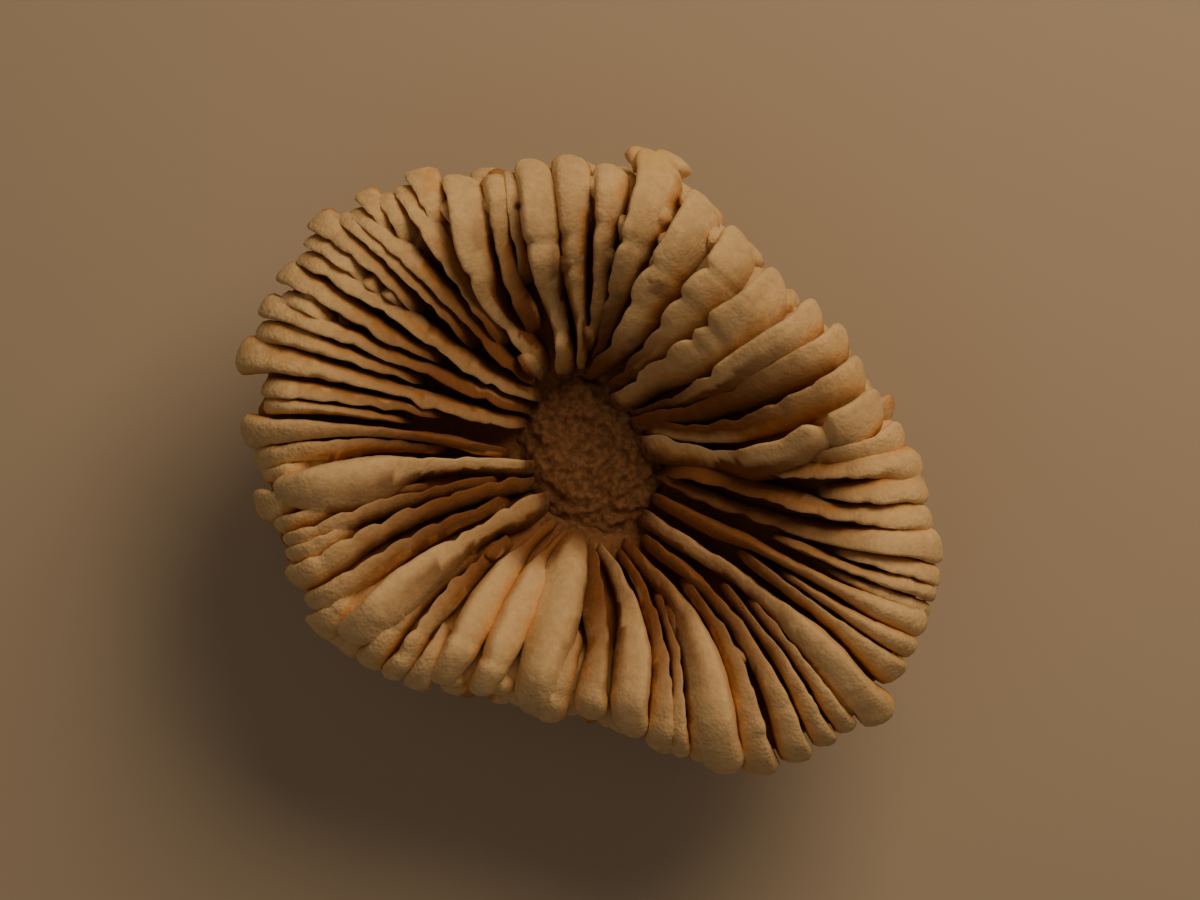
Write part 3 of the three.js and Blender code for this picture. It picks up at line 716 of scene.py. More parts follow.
    def half_section(self, slim: bool, path: CrestPath, fall: np.ndarray, tall: np.ndarray,
                     thick: np.ndarray) -> list:
        """Half of the plate cut across, from the crest down to the end of the rib.

        Args:
            slim: Whether the plate is a slim one.
            path: Its stations.
            fall: How far the crest dips.
            tall: Height of the plate, as if its crest had no dips.
            thick: Full width of the crest.

        Returns:
            Triples of half width, share of the swelling and depth, each for all stations.
        """
        ends = self.rounded_ends(path)
        wide = thick * ends * (1 - self.flute * np.clip(fall, 0, 1))
        body = tall - fall
        cap = np.minimum(self.cap_share * thick + self.cap_extra, self.deepest[0] * body)
        belly = self.belly_share * path.widths * self.belly_shares[slim]
        belly = fall + cap + belly + self.belly_extra
        belly = np.minimum(belly, fall + self.deepest[1] * body)
        flank = self.flank_share * path.widths * self.flank_shares[slim]
        foot = np.minimum(belly + flank + self.flank_extra, fall + self.deepest[2] * body)
        near_tip = np.clip(1 - path.from_tip / self.blunt_length, 0, 1)
        blade = np.minimum(self.blade * ends, wide * self.blade_share) / 2
        blade = blade + np.maximum(self.blunt[0] * wide - blade, 0) * near_tip
        rib = np.clip(path.widths * self.rib_share / 2, *self.rib_halves) * ends
        rib = rib + np.maximum(self.blunt[1] * wide - rib, 0) * near_tip
        steps = []
        for angle in np.radians(self.cap_angles[slim]):
            share = math.cos(angle) ** self.ridge_power
            steps.append((wide / 2 * share, 1.0, fall + cap * (1 - math.sin(angle))))
        for share in (0.5, 1.0):
            steps.append((wide / 2, 1.0, fall + cap + share * (belly - fall - cap)))
        for share in self.flank_steps[slim]:
            thin = eased(share)
            half = wide * 0.5 * (1 - thin) + blade * thin
            steps.append((half, 1 - thin, belly + share * (foot - belly)))
        narrowed, lifted = self.rib_end
        rib_top = np.maximum(tall - self.rib_depth, (foot + tall) / 2 + self.rib_gap)
        steps.append((rib, 0.0, rib_top))
        steps.append((rib * narrowed, 0.0, tall - lifted * np.minimum(tall / self.low_plate, 1)))
        return steps

    def spare_room(self, slim: bool, path: CrestPath, gap: np.ndarray,
                   thick: np.ndarray) -> np.ndarray:
        """How far one flank swells towards the neighbour.

        Args:
            slim: Whether the plate is a slim one.
            path: Its stations.
            gap: Distances to the neighbour's crest.
            thick: Full width of the crest.

        Returns:
            One distance for each station.
        """
        valley = round_the_circle(VALLEY_START_BY_BEARING, bearings_of(path.places))
        shallow = np.clip((path.outward() - valley) / self.fill_band, 0, 1)
        fill = self.fill[0] + (self.fill[1] - self.fill[0]) * shallow
        most = self.most_swell[0] * path.widths + self.most_swell[1]
        spare = np.clip(fill * gap / 2 - thick / 2, 0.0, most) * self.rounded_ends(path)
        spare = spare * (1 - self.lean_saves * self.leaning(path)[2])
        return spare if slim else spare * (self.petal_swell + (1 - self.petal_swell) * shallow)

    def slide(self, path: CrestPath, down: np.ndarray, room: tuple) -> np.ndarray:
        """How far the section moves sideways at each depth, because the plate leans.

        Args:
            path: Stations of the plate.
            down: Depths, shaped (stations, corners).
            room: Distances to the neighbours' crests, clockwise and counter-clockwise.

        Returns:
            Distances, shaped like the depths.
        """
        lean, swing, strength = self.leaning(path)
        falling = np.where(lean > 0, room[0], room[1])
        reach = self.tilt_reach[0] + self.tilt_reach[1] * path.widths
        leaf = self.tilt_gain * np.abs(lean) * reach
        shift = np.maximum(leaf * swing, self.face_share * falling * strength)
        reach = np.maximum(shift, self.least_shift) / self.face_slope
        moved = np.sign(lean)[:, None] * shift[:, None] * (1 - np.exp(-down / reach[:, None]))
        crest_side = self.skew * path.widths * self.rounded_ends(path) * (1 - strength)
        fade = np.exp(-down / (self.skew_depth * path.widths[:, None]))
        return moved - crest_side[:, None] * fade

    def outlines(self, septum: Septum, path: CrestPath, heights: tuple, fall: np.ndarray,
                 room: tuple) -> np.ndarray:
        """Outlines of the plate cut across at each station.

        Args:
            septum: The plate.
            path: Its stations.
            heights: Top and bottom of the plate at each station, as if its crest had no dips.
            fall: How far the crest dips below that top.
            room: Distances to the neighbours' crests, clockwise and counter-clockwise.

        Returns:
            (sideways, height) corners, shaped (stations, corners, 2).
        """
        top, bottom = heights
        slim = self.is_slim(septum)
        tall = np.maximum(top - bottom, self.flattest)
        fall = np.clip(fall, self.highest_dip, self.deepest_dip * tall)
        lean, swing, _ = self.leaning(path)
        gain, start = self.tilt_thins
        thick = path.widths * (1 - gain * np.clip(np.abs(lean) - start, 0, 1) * swing)
        thick = thick * self.crest_share(septum, path)
        steps = self.half_section(slim, path, fall, tall, thick)
        sides = []
        for gap in room:
            spare = self.spare_room(slim, path, gap, thick)
            sides.append(np.stack([
                half + spare * share * (1 - np.exp(-(deep - fall) / self.swell_depth))
                for half, share, deep in steps
            ], axis=1))
        depth = np.stack([deep for _, _, deep in steps], axis=1)
        nothing = np.zeros((len(top), 1))
        side = np.concatenate([nothing, sides[1], nothing, -sides[0][:, ::-1]], axis=1)
        down = np.concatenate([fall[:, None], depth, tall[:, None], depth[:, ::-1]], axis=1)
        return np.stack([side - self.slide(path, down, room), top[:, None] - down], axis=2)

    def dress(self, septum: Septum, path: CrestPath) -> np.ndarray:
        """What the finish knows at each station.

        Args:
            septum: The plate.
            path: Its stations.

        Returns:
            Rows of (brown share, how fast the colour deepens with depth, granular share). The first two
            drive painted shade, partly staining too.
        """
        grain = share_between(path.outward(), *self.grain_band)
        grain = grain * (1 if self.is_slim(septum) else self.petal_grain)
        if septum.order is Order.WALL_LOBE:
            grain = np.zeros(len(grain))
        crest = path.widths * self.crest_share(septum, path)
        start, by_width, least = self.deepen
        quick = 1 / np.maximum(start + by_width * crest, least)
        return np.stack([self.shade(septum, path), quick, grain], axis=1)

    def heights(self, septum: Septum, path: CrestPath) -> tuple:
        """The course of the plate's crest and underside, as if it had no dips.

        Args:
            septum: The plate.
            path: Its stations.

        Returns:
            Top, bottom, and how far the tip and the root have risen there, from 0 to 1.
        """
        bearing = bearings_of(path.places)
        radius = np.linalg.norm(path.places, axis=1)
        sunk = septum.sunk + (self.slim_sunk if self.is_slim(septum) else 0.0)
        tip_bearing, tip_radius, _ = septum.crest[-1]
        tip_crest = crest_height(np.array([tip_bearing]), np.array([tip_radius]))[0]
        tip_height = tip_crest - sunk - self.nose_drop
        curve = self.nose_drop if self.is_slim(septum) else self.petal_nose
        nose = quarter_round(np.clip(path.from_tip / curve, 0, 1))
        root = quarter_round(np.clip(path.from_root / self.root_length, 0, 1))
        crest = crest_height(bearing, radius) - sunk - self.root_fall * (1 - root)
        crest = crest - self.shoulder(septum, path)
        top = tip_height + (crest - tip_height) * nose
        outside = radius > rim_radius(bearing) + self.rib_relief
        rib = np.where(outside, self.buried, self.rib_height(bearing, radius))
        under = tip_height - self.undercut * path.from_tip ** self.undercut_power
        covered = np.minimum(under, rib + self.rib_cover)
        bottom = np.maximum(np.where(outside, under, covered), rib)
        return top, np.minimum(bottom, top - self.thinnest), nose, root

    def solid(self, septum: Septum, path: CrestPath, room: tuple) -> tuple:
        """One septum with its rib.

        Args:
            septum: The plate.
            path: Its stations.
            room: Distances to the neighbours' crests, clockwise and counter-clockwise.

        Returns:
            The closed object, and its crest line as rows of (x, y, z) and what dress gives.
        """
        fall = self.dips(septum, path) * (self.dip[0] + self.dip[1] * path.widths)
        fall = fall * (septum.cut if septum.notches else self.chance_cut[self.is_slim(septum)])
        fall = fall + self.teeth(septum, path)
        top, bottom, nose, root = self.heights(septum, path)
        outline = self.outlines(septum, path, (top, bottom), fall * nose * root, room)
        across = np.stack([-path.along[:, 1], path.along[:, 0]], axis=1)
        rings = np.concatenate([
            path.places[:, None, :] + across[:, None, :] * outline[:, :, :1],
            outline[:, :, 1:],
        ], axis=2)
        first = rings[0].mean(axis=0)
        last = rings[-1].mean(axis=0)
        tip_bearing, tip_radius, _ = septum.crest[-1]
        last[:2] += plane_point(tip_bearing, tip_radius) - path.places[-1]
        piece = loft(f"septum_{septum.name}", rings, first, last)
        return piece, np.concatenate([rings[:, 0], self.dress(septum, path)], axis=1)

    def path(self, septum: Septum) -> CrestPath:
        """The stations of a septum's crest."""
        step = self.steps[self.is_slim(septum)]
        return CrestPath.through(septum, step, self.root_round, self.nose_drop)

    def all_solids(self, septa: tuple) -> list:
        """Every plate, each swollen into the room that its neighbours leave.

        Args:
            septa: The plates.

        Returns:
            Pairs of the closed object and its crest line.
        """
        paths = [self.path(septum) for septum in septa]
        crests = [i for i, septum in enumerate(septa) if septum.order is Order.PLATE]
        made = []
        for i, (septum, path) in enumerate(zip(septa, paths)):
            others = np.concatenate([paths[k].places for k in crests if k != i])
            made.append(self.solid(septum, path, room_beside(path, others)))
        return made


def room_beside(path: CrestPath, others: np.ndarray) -> tuple:
    """Distances from a crest to the nearest other crests beside it.

    Args:
        path: Stations of the crest.
        others: Plan positions along all other crests.

    Returns:
        Distances clockwise and counter-clockwise, one for each station, evened out.
    """
    widest = 6.0
    nearest = 0.4
    abreast = 0.9
    evened = 7
    across = np.stack([-path.along[:, 1], path.along[:, 0]], axis=1)
    away = others[None, :, :] - path.places[:, None, :]
    sideways = (away * across[:, None, :]).sum(axis=2)
    onward = np.abs((away * path.along[:, None, :]).sum(axis=2))
    window = np.ones(evened) / evened
    rooms = []
    for side in (-sideways, sideways):
        fits = (side > nearest) & (onward < abreast)
        near = np.where(fits, side, widest).min(axis=1)
        rooms.append(np.convolve(np.pad(near, evened // 2, mode="edge"), window, mode="valid"))
    return rooms[0], rooms[1]


@dataclass(frozen=True)
class Cup:
    """The flared wall: cut off flat below, open above as a funnel between the septa.

    Its rings are (share of the rim's radius, height), up the outside and down the inside.
    """

    segments: int = 360
    wall: tuple = ((0.3, 0.0), (0.54, 0.0), (0.562, 0.35), (0.6, 2.6), (0.66, 6.4), (0.72, 10.4),
                   (0.78, 14.3), (0.84, 18.1), (0.9, 22.0), (0.95, 25.3), (1.0, 28.5))
    lip: tuple = ((1.03, 30.0), (1.045, 31.2), (1.035, 32.3), (1.0, 33.2))
    inside: tuple = ((0.94, 33.8), (0.86, 33.9), (0.78, 31.6), (0.6, 25.6), (0.4, 19.0),
                     (0.2, 12.4))
    floor_height: float = 6.0
    swell: float = 0.35
    swell_wave: float = 0.9
    swell_turn: float = 1.3
    swell_start: float = 1.0
    scallop: float = 0.9
    scallop_waves: tuple = (41, 67)
    scallop_mean: float = 1.1
    ribs: int = 62
    rib_sway: tuple = (0.8, 3)
    rib_relief: float = 0.7
    rib_mean: float = 0.6
    rib_start: float = 5.0

    def solid(self) -> bpy.types.Object:
        """The closed cup, with ribs down the wall and faint swellings that run round it.

        Returns:
            The closed object.
        """
        bearings = np.arange(self.segments) * 360 / self.segments
        angles = np.radians(bearings)
        rim = rim_radius(bearings)
        waves = [np.abs(np.sin(wave / 2 * angles + k)) for k, wave in enumerate(self.scallop_waves)]
        lobes = self.scallop * (waves[0] + waves[1] - self.scallop_mean)
        sway, turns = self.rib_sway
        ribs = np.abs(np.sin(self.ribs / 2 * angles + sway * np.sin(turns * angles)))
        ribs = self.rib_relief * (ribs - self.rib_mean)
        rings = []
        for share, height in (*self.wall, *self.lip, *self.inside):
            radius = share * rim
            if (share, height) in self.wall and height > self.swell_start:
                phase = height * self.swell_wave + self.swell_turn * np.sin(angles)
                radius = radius + self.swell * np.sin(phase)
                radius = radius + ribs * min(height / self.rib_start, 1)
            if (share, height) in self.lip or share == 1.0:
                radius = radius + lobes
            level = np.full(self.segments, float(height))
            rings.append(np.stack([radius * np.cos(angles), radius * np.sin(angles), level], axis=1))
        foot = np.zeros(3)
        return loft("cup", np.array(rings), foot, np.array([0.0, 0.0, self.floor_height]))


def new_tree(name: str, sizes: dict) -> bpy.types.NodeTree:
    """A geometry tree with a mesh input, named sizes and a mesh output.

    Args:
        name: Tree name.
        sizes: Input names with their values.

    Returns:
        The tree with its Group Input and Group Output nodes.
    """
    tree = bpy.data.node_groups.new(name, "GeometryNodeTree")
    tree.interface.new_socket("Geometry", in_out="INPUT", socket_type="NodeSocketGeometry")
    for label, value in sizes.items():
        kind = "NodeSocketInt" if isinstance(value, int) else "NodeSocketFloat"
        tree.interface.new_socket(label, in_out="INPUT", socket_type=kind).default_value = value
    tree.interface.new_socket("Geometry", in_out="OUTPUT", socket_type="NodeSocketGeometry")
    tree.nodes.new("NodeGroupInput")
    tree.nodes.new("NodeGroupOutput")
    return tree


def run_tree(carrier: bpy.types.Object, tree: bpy.types.NodeTree, sizes: dict) -> bpy.types.Mesh:
    """Runs a geometry tree on an object and takes the result as a plain mesh.

    Args:
        carrier: Object that the tree starts from. It is deleted.
        tree: The tree.
        sizes: Input names with their values.

    Returns:
        The plain mesh.
    """
    modifier = carrier.modifiers.new(tree.name, "NODES")
    modifier.node_group = tree
    for item in tree.interface.items_tree:
        if item.in_out == "INPUT" and item.name in sizes:
            modifier[item.identifier] = sizes[item.name]
    mesh = modified_mesh(carrier)
    carrier.modifiers.remove(modifier)
    remove_object(carrier)
    return mesh


def modified_mesh(piece: bpy.types.Object) -> bpy.types.Mesh:
    """The mesh that an object has after its modifiers.

    Args:
        piece: The object.

    Returns:
        A new plain mesh.
    """
    graph = bpy.context.evaluated_depsgraph_get()
    graph.update()
    return bpy.data.meshes.new_from_object(piece.evaluated_get(graph), depsgraph=graph)


def remove_object(piece: bpy.types.Object) -> None:
    """Deletes an object, and its mesh when nothing else uses it.

    Args:
        piece: The object.
    """
    mesh = piece.data
    bpy.data.objects.remove(piece)
    if mesh.users == 0:
        bpy.data.meshes.remove(mesh)


def plain_object(name: str, mesh: bpy.types.Mesh) -> bpy.types.Object:
    """An object at the origin for a finished mesh.

    Args:
        name: Name of the object and its mesh.
        mesh: The mesh.

    Returns:
        The new object, linked to the scene.
    """
    mesh.name = name
    piece = bpy.data.objects.new(name, mesh)
    bpy.context.scene.collection.objects.link(piece)
    return piece


@dataclass(frozen=True)
class Columella:
    """The spongy centre: a low mound overgrown with small knots, fused into one crust."""

    segments: int = 72
    half_sizes: tuple = (8.0, 9.8)
    turn: float = 16.0
    profile: tuple = ((1.3, 3.0), (1.56, 9.0), (1.5, 12.4), (1.36, 14.6), (1.18, 16.0),
                      (1.0, 17.0), (0.8, 17.7), (0.55, 17.9), (0.28, 17.6))
    top: float = 17.4
    knots_per_square_mm: float = 0.5
    knot_radius: float = 0.8
    knot_cuts: int = 2
    knot_scales: tuple = ((0.45, 0.45, 0.5), (1.15, 1.15, 1.3))
    grid: float = 0.34
    seed: int = 5

    def mound(self) -> bpy.types.Object:
        """The smooth mound that carries the knots: a low dome with an apron under the septa.

        Returns:
            The closed object.
        """
        turns = np.radians(np.arange(self.segments) * (360 / self.segments))
        angle = math.radians(self.turn)
        spin = np.array([[math.cos(angle), math.sin(angle)],
                         [-math.sin(angle), math.cos(angle)]])
        rings = []
        for share, height in self.profile:
            flat = np.stack([self.half_sizes[0] * share * np.cos(turns),
                             self.half_sizes[1] * share * np.sin(turns)], axis=1)
            level = np.full((len(turns), 1), height)
            rings.append(np.concatenate([flat @ spin, level], axis=1))
        low = np.array([0.0, 0.0, self.profile[0][1]])
        high = np.array([0.0, 0.0, self.top])
        return loft("mound", np.array(rings), low, high)

    def tree(self) -> tuple:
        """The tree that scatters knots over the mound and fuses them with it.

        Returns:
            The tree, and its sizes by input name.
        """
        sizes = {
            "Knots per square metre": self.knots_per_square_mm / MM ** 2,
            "Knot radius": self.knot_radius * MM,
            "Grid": self.grid * MM,
            "Seed": self.seed,
        }
        tree = new_tree("spongy_crust", sizes)
        nodes = tree.nodes
        links = tree.links
        given = nodes["Group Input"]
        made = nodes["Group Output"]
        scatter = nodes.new("GeometryNodeDistributePointsOnFaces")
        links.new(given.outputs["Geometry"], scatter.inputs["Mesh"])
        links.new(given.outputs["Knots per square metre"], scatter.inputs["Density"])
        links.new(given.outputs["Seed"], scatter.inputs["Seed"])
        knot = nodes.new("GeometryNodeMeshIcoSphere")
        knot.inputs["Subdivisions"].default_value = self.knot_cuts
        links.new(given.outputs["Knot radius"], knot.inputs["Radius"])
        spread = nodes.new("FunctionNodeRandomValue")
        spread.data_type = "FLOAT_VECTOR"
        spread.inputs[0].default_value = self.knot_scales[0]
        spread.inputs[1].default_value = self.knot_scales[1]
        links.new(given.outputs["Seed"], spread.inputs["Seed"])
        place = nodes.new("GeometryNodeInstanceOnPoints")
        links.new(scatter.outputs["Points"], place.inputs["Points"])
        links.new(knot.outputs["Mesh"], place.inputs["Instance"])
        links.new(scatter.outputs["Rotation"], place.inputs["Rotation"])
        links.new(spread.outputs[0], place.inputs["Scale"])
        real = nodes.new("GeometryNodeRealizeInstances")
        links.new(place.outputs["Instances"], real.inputs["Geometry"])
        join = nodes.new("GeometryNodeJoinGeometry")
        links.new(real.outputs["Geometry"], join.inputs["Geometry"])
        links.new(given.outputs["Geometry"], join.inputs["Geometry"])
        fill = nodes.new("GeometryNodeMeshToVolume")
        fill.resolution_mode = "VOXEL_SIZE"
        links.new(join.outputs["Geometry"], fill.inputs["Mesh"])
        links.new(given.outputs["Grid"], fill.inputs["Voxel Size"])
        skin = nodes.new("GeometryNodeVolumeToMesh")
        skin.resolution_mode = "VOXEL_SIZE"
        links.new(fill.outputs["Volume"], skin.inputs["Volume"])
        links.new(given.outputs["Grid"], skin.inputs["Voxel Size"])
        last = nodes.new("GeometryNodeRealizeInstances")
        links.new(skin.outputs["Mesh"], last.inputs["Geometry"])
        finish = nodes.new("GeometryNodeSetMaterial")
        links.new(last.outputs["Geometry"], finish.inputs["Geometry"])
        links.new(finish.outputs["Geometry"], made.inputs["Geometry"])
        return tree, sizes

    def solid(self) -> bpy.types.Object:
        """The fused crust as a closed mesh."""
        tree, sizes = self.tree()
        return plain_object("columella", run_tree(self.mound(), tree, sizes))


@dataclass(frozen=True)
class Corallum:
    """The whole grown skeleton: cup, septa, wall lobes and spongy centre in one shell."""

    cup: Cup = field(default_factory=Cup)
    plates: Plates = field(default_factory=Plates)
    columella: Columella = field(default_factory=Columella)
    lobe_length: float = 9.0
    lobe_drop: float = 8.0
    knob_length: float = 3.6
    lobe_shape: tuple = ((1.0, 0.6), (0.3, 1.0), (0.0, 0.9))
    relief: float = 0.13
    relief_wave: float = 2.4
    fine_relief: tuple = (0.5, 0.4)
    grain_relief: float = 0.14
    grain_wave: float = 0.75
    flat_below: float = 0.3
    crease_angle: float = 60.0
    height_counts: float = 0.35
    tint_seed: int = 3
    crest_band: tuple = (0.5, 2.2)
    wall_depth: float = 2.6
    wall_band: tuple = (-1.5, -0.5)
    wall_fade: float = 3.0
    base_edge: float = 0.5
    sponge_edge: tuple = (1.12, 1.5)
    sponge_height: tuple = (18.2, 19.8)

    def lobes(self) -> list:
        """The round lobes of the outer wall and the knobs beside the petals, as short plates.

        Returns:
            One Septum for each.
        """
        wall = (self.lobe_length, self.lobe_drop, Order.WALL_LOBE)
        rows = [(*row, *wall) for row in WALL_LOBES]
        rows += [(b, r, w, self.knob_length, drop, Order.KNOB) for b, r, w, drop in KNOBS]
        return [
            Septum(
                f"{order.value}_{bearing:g}".replace(".", "_"),
                tuple((bearing, reach - back * length, width * share)
                      for back, share in self.lobe_shape),
                notches=(),
                sunk=drop,
                order=order,
            )
            for bearing, reach, width, length, drop, order in rows
        ]

    def grown_shell(self) -> tuple:
        """All parts united.

        Returns:
            The united object, and the crest lines of the plates.
        """
        body = self.cup.solid()
        grown = bpy.data.collections.new("grown")
        bpy.context.scene.collection.children.link(grown)
        plates = self.plates.all_solids((*SEPTA, *self.lobes()))
        lines = [line for _, line in plates]
        parts = [self.columella.solid(), *(piece for piece, _ in plates)]
        for piece in parts:
            bpy.context.scene.collection.objects.unlink(piece)
            grown.objects.link(piece)
        union = body.modifiers.new("grow together", "BOOLEAN")
        union.operation = "UNION"
        union.operand_type = "COLLECTION"
        union.collection = grown
        union.solver = "MANIFOLD"
        mesh = modified_mesh(body)
        body.modifiers.remove(union)
        for piece in (*parts, body):
            remove_object(piece)
        bpy.data.collections.remove(grown)
        return plain_object("coral_skeleton_visual", mesh), lines

    def keep_outer_shell(self, piece: bpy.types.Object) -> None:
        """Drops pockets that touching plates close off, which nobody can see.

        Args:
            piece: The united object.
        """
        shell = bmesh.new()
        shell.from_mesh(piece.data)
        bmesh.ops.triangulate(shell, faces=shell.faces)
        shell.verts.ensure_lookup_table()
        seen = set()
        groups = []
        for start in shell.verts:
            if start.index in seen:
                continue
            seen.add(start.index)
            stack = [start]
            group = []
            while stack:
                corner = stack.pop()
                group.append(corner)
                for edge in corner.link_edges:
                    other = edge.other_vert(corner)
                    if other.index not in seen:
                        seen.add(other.index)
                        stack.append(other)
            groups.append(group)
        groups.sort(key=len)
        LOG.info("shells %d, the largest %d corners", len(groups), len(groups[-1]))
        for group in groups[:-1]:
            bmesh.ops.delete(shell, geom=group, context="VERTS")
        shell.to_mesh(piece.data)
        shell.free()

    def roughen(self, piece: bpy.types.Object) -> None:
        """Lets the surface wander a little, makes the tips granular and keeps the cut base flat.

        Args:
            piece: The marked object.
        """
        mesh = piece.data
        count = len(mesh.vertices)
        places = corner_places(mesh)
        normals = np.empty(count * 3)
        grain = np.empty(count)
        mesh.attributes["grain"].data.foreach_get("value", grain)
        mesh.vertices.foreach_get("normal", normals)
        normals = normals.reshape(-1, 3)
        side_step = Vector((7, 3, 1))
        fine_share, fine_wave = self.fine_relief
        for k in range(count):
            if places[k, 2] < self.flat_below:
                continue
            place = Vector(places[k])
            swing = noise.noise(place / self.relief_wave)
            swing += fine_share * noise.noise(place / (self.relief_wave * fine_wave) + side_step)
            swing = swing * self.relief
            if grain[k] > 0:
                granule = noise.noise(place / self.grain_wave - side_step)
                swing += granule * grain[k] * self.grain_relief
            places[k] += normals[k] * swing
        mesh.vertices.foreach_set("co", (places * MM).ravel())
        mesh.update()

    def mark(self, piece: bpy.types.Object, lines: list) -> None:
        """Writes what the finish needs at each corner.

        The values are the depth under the nearest crest, how granular the place is, a tint by
        plate, how brown the plate is there and whether it belongs to the spongy centre. The depth
        and the brown share drive painted shade in the finish, partly staining too.

        Args:
            piece: The united object.
            lines: Crest lines of the plates.
        """
        flatten = self.height_counts
        rows = [(point, i) for i, line in enumerate(lines) for point in line]
        tree = kdtree.KDTree(len(rows))
        for k, (point, _) in enumerate(rows):
            tree.insert(Vector((point[0], point[1], point[2] * flatten)), k)
        tree.balance()
        tints = np.random.default_rng(self.tint_seed).uniform(0, 1, len(lines))
        places = corner_places(piece.data)
        found = [tree.find(Vector((x, y, z * flatten)))[1] for x, y, z in places]
        nearest = np.array([rows[k][0] for k in found])
        away = np.linalg.norm(places - nearest[:, :3], axis=1)
        near, far = self.crest_band
        depth = np.clip(nearest[:, 2] - places[:, 2], 0, None) * nearest[:, 4]
        outside = self.outside_share(places)
        depth = depth + (np.minimum(depth, self.wall_depth) - depth) * outside
        values = {
            "depth_mm": depth,
            "grain": share_between(away, far, near) * nearest[:, 5],
            "plate_tint": np.array([tints[rows[k][1]] for k in found]),
            "brown": nearest[:, 3] * (1 - outside),
            "sponge": self.sponge_share(places),
        }
        for name, column in values.items():
            layer = piece.data.attributes.new(name, "FLOAT", "POINT")
            layer.data.foreach_set("value", column.astype(np.float32))

    def outside_share(self, places: np.ndarray) -> np.ndarray:
        """How far each place belongs to the outside of the wall or to the cut base, from 0 to 1.

        Args:
            places: Positions.

        Returns:
            One share for each position.
        """
        height = places[:, 2]
        top = self.plates.wall_height
        climb = np.clip(height / top, 0, 1)
        share = self.plates.wall_foot + (1 - self.plates.wall_foot) * climb
        wall = share * rim_radius(bearings_of(places[:, :2]))
        away = np.linalg.norm(places[:, :2], axis=1)
        beyond = share_between(away - wall, *self.wall_band)
        beyond = beyond * share_between(height, top + self.wall_fade, top)
        return np.maximum(beyond, np.clip(1 - height / self.base_edge, 0, 1))

    def sponge_share(self, places: np.ndarray) -> np.ndarray:
        """How far each place belongs to the spongy centre, from 0 to 1.

        Args:
            places: Positions.

        Returns:
            One share for each position.
        """
        angle = math.radians(self.columella.turn)
        spin = np.array([[math.cos(angle), -math.sin(angle)],
                         [math.sin(angle), math.cos(angle)]])
        flat = (places[:, :2] @ spin) / self.columella.half_sizes
        inner, outer = self.sponge_edge
        low, high = self.sponge_height
        beside = share_between(np.linalg.norm(flat, axis=1), outer, inner)
        return beside * share_between(places[:, 2], high, low)

    def build(self) -> bpy.types.Object:
        """The finished piece, without its material.

        Returns:
            The one visual object.
        """
        piece, lines = self.grown_shell()
        self.keep_outer_shell(piece)
        self.mark(piece, lines)
        self.roughen(piece)
        piece.data.shade_smooth()
        piece.data.set_sharp_from_angle(angle=math.radians(self.crease_angle))
        return piece


def corner_places(mesh: bpy.types.Mesh) -> np.ndarray:
    """Positions of a mesh's corners in millimetres.

    Args:
        mesh: The mesh.

    Returns:
        One row for each corner.
    """
    places = np.empty(len(mesh.vertices) * 3)
    mesh.vertices.foreach_get("co", places)
    return places.reshape(-1, 3) / MM


@dataclass(frozen=True)
class ColourPatch:
    """A coloured patch: its bearing and radius seen from the axis, its size, colour and strength. Some
    patches are painted light.
    """

    bearing: float
    radius: float
    size: float
    colour: tuple
    strength: float
    core: float = 0.7
    ragged: float = 0.5
    waves: tuple = (700.0, 2.0)

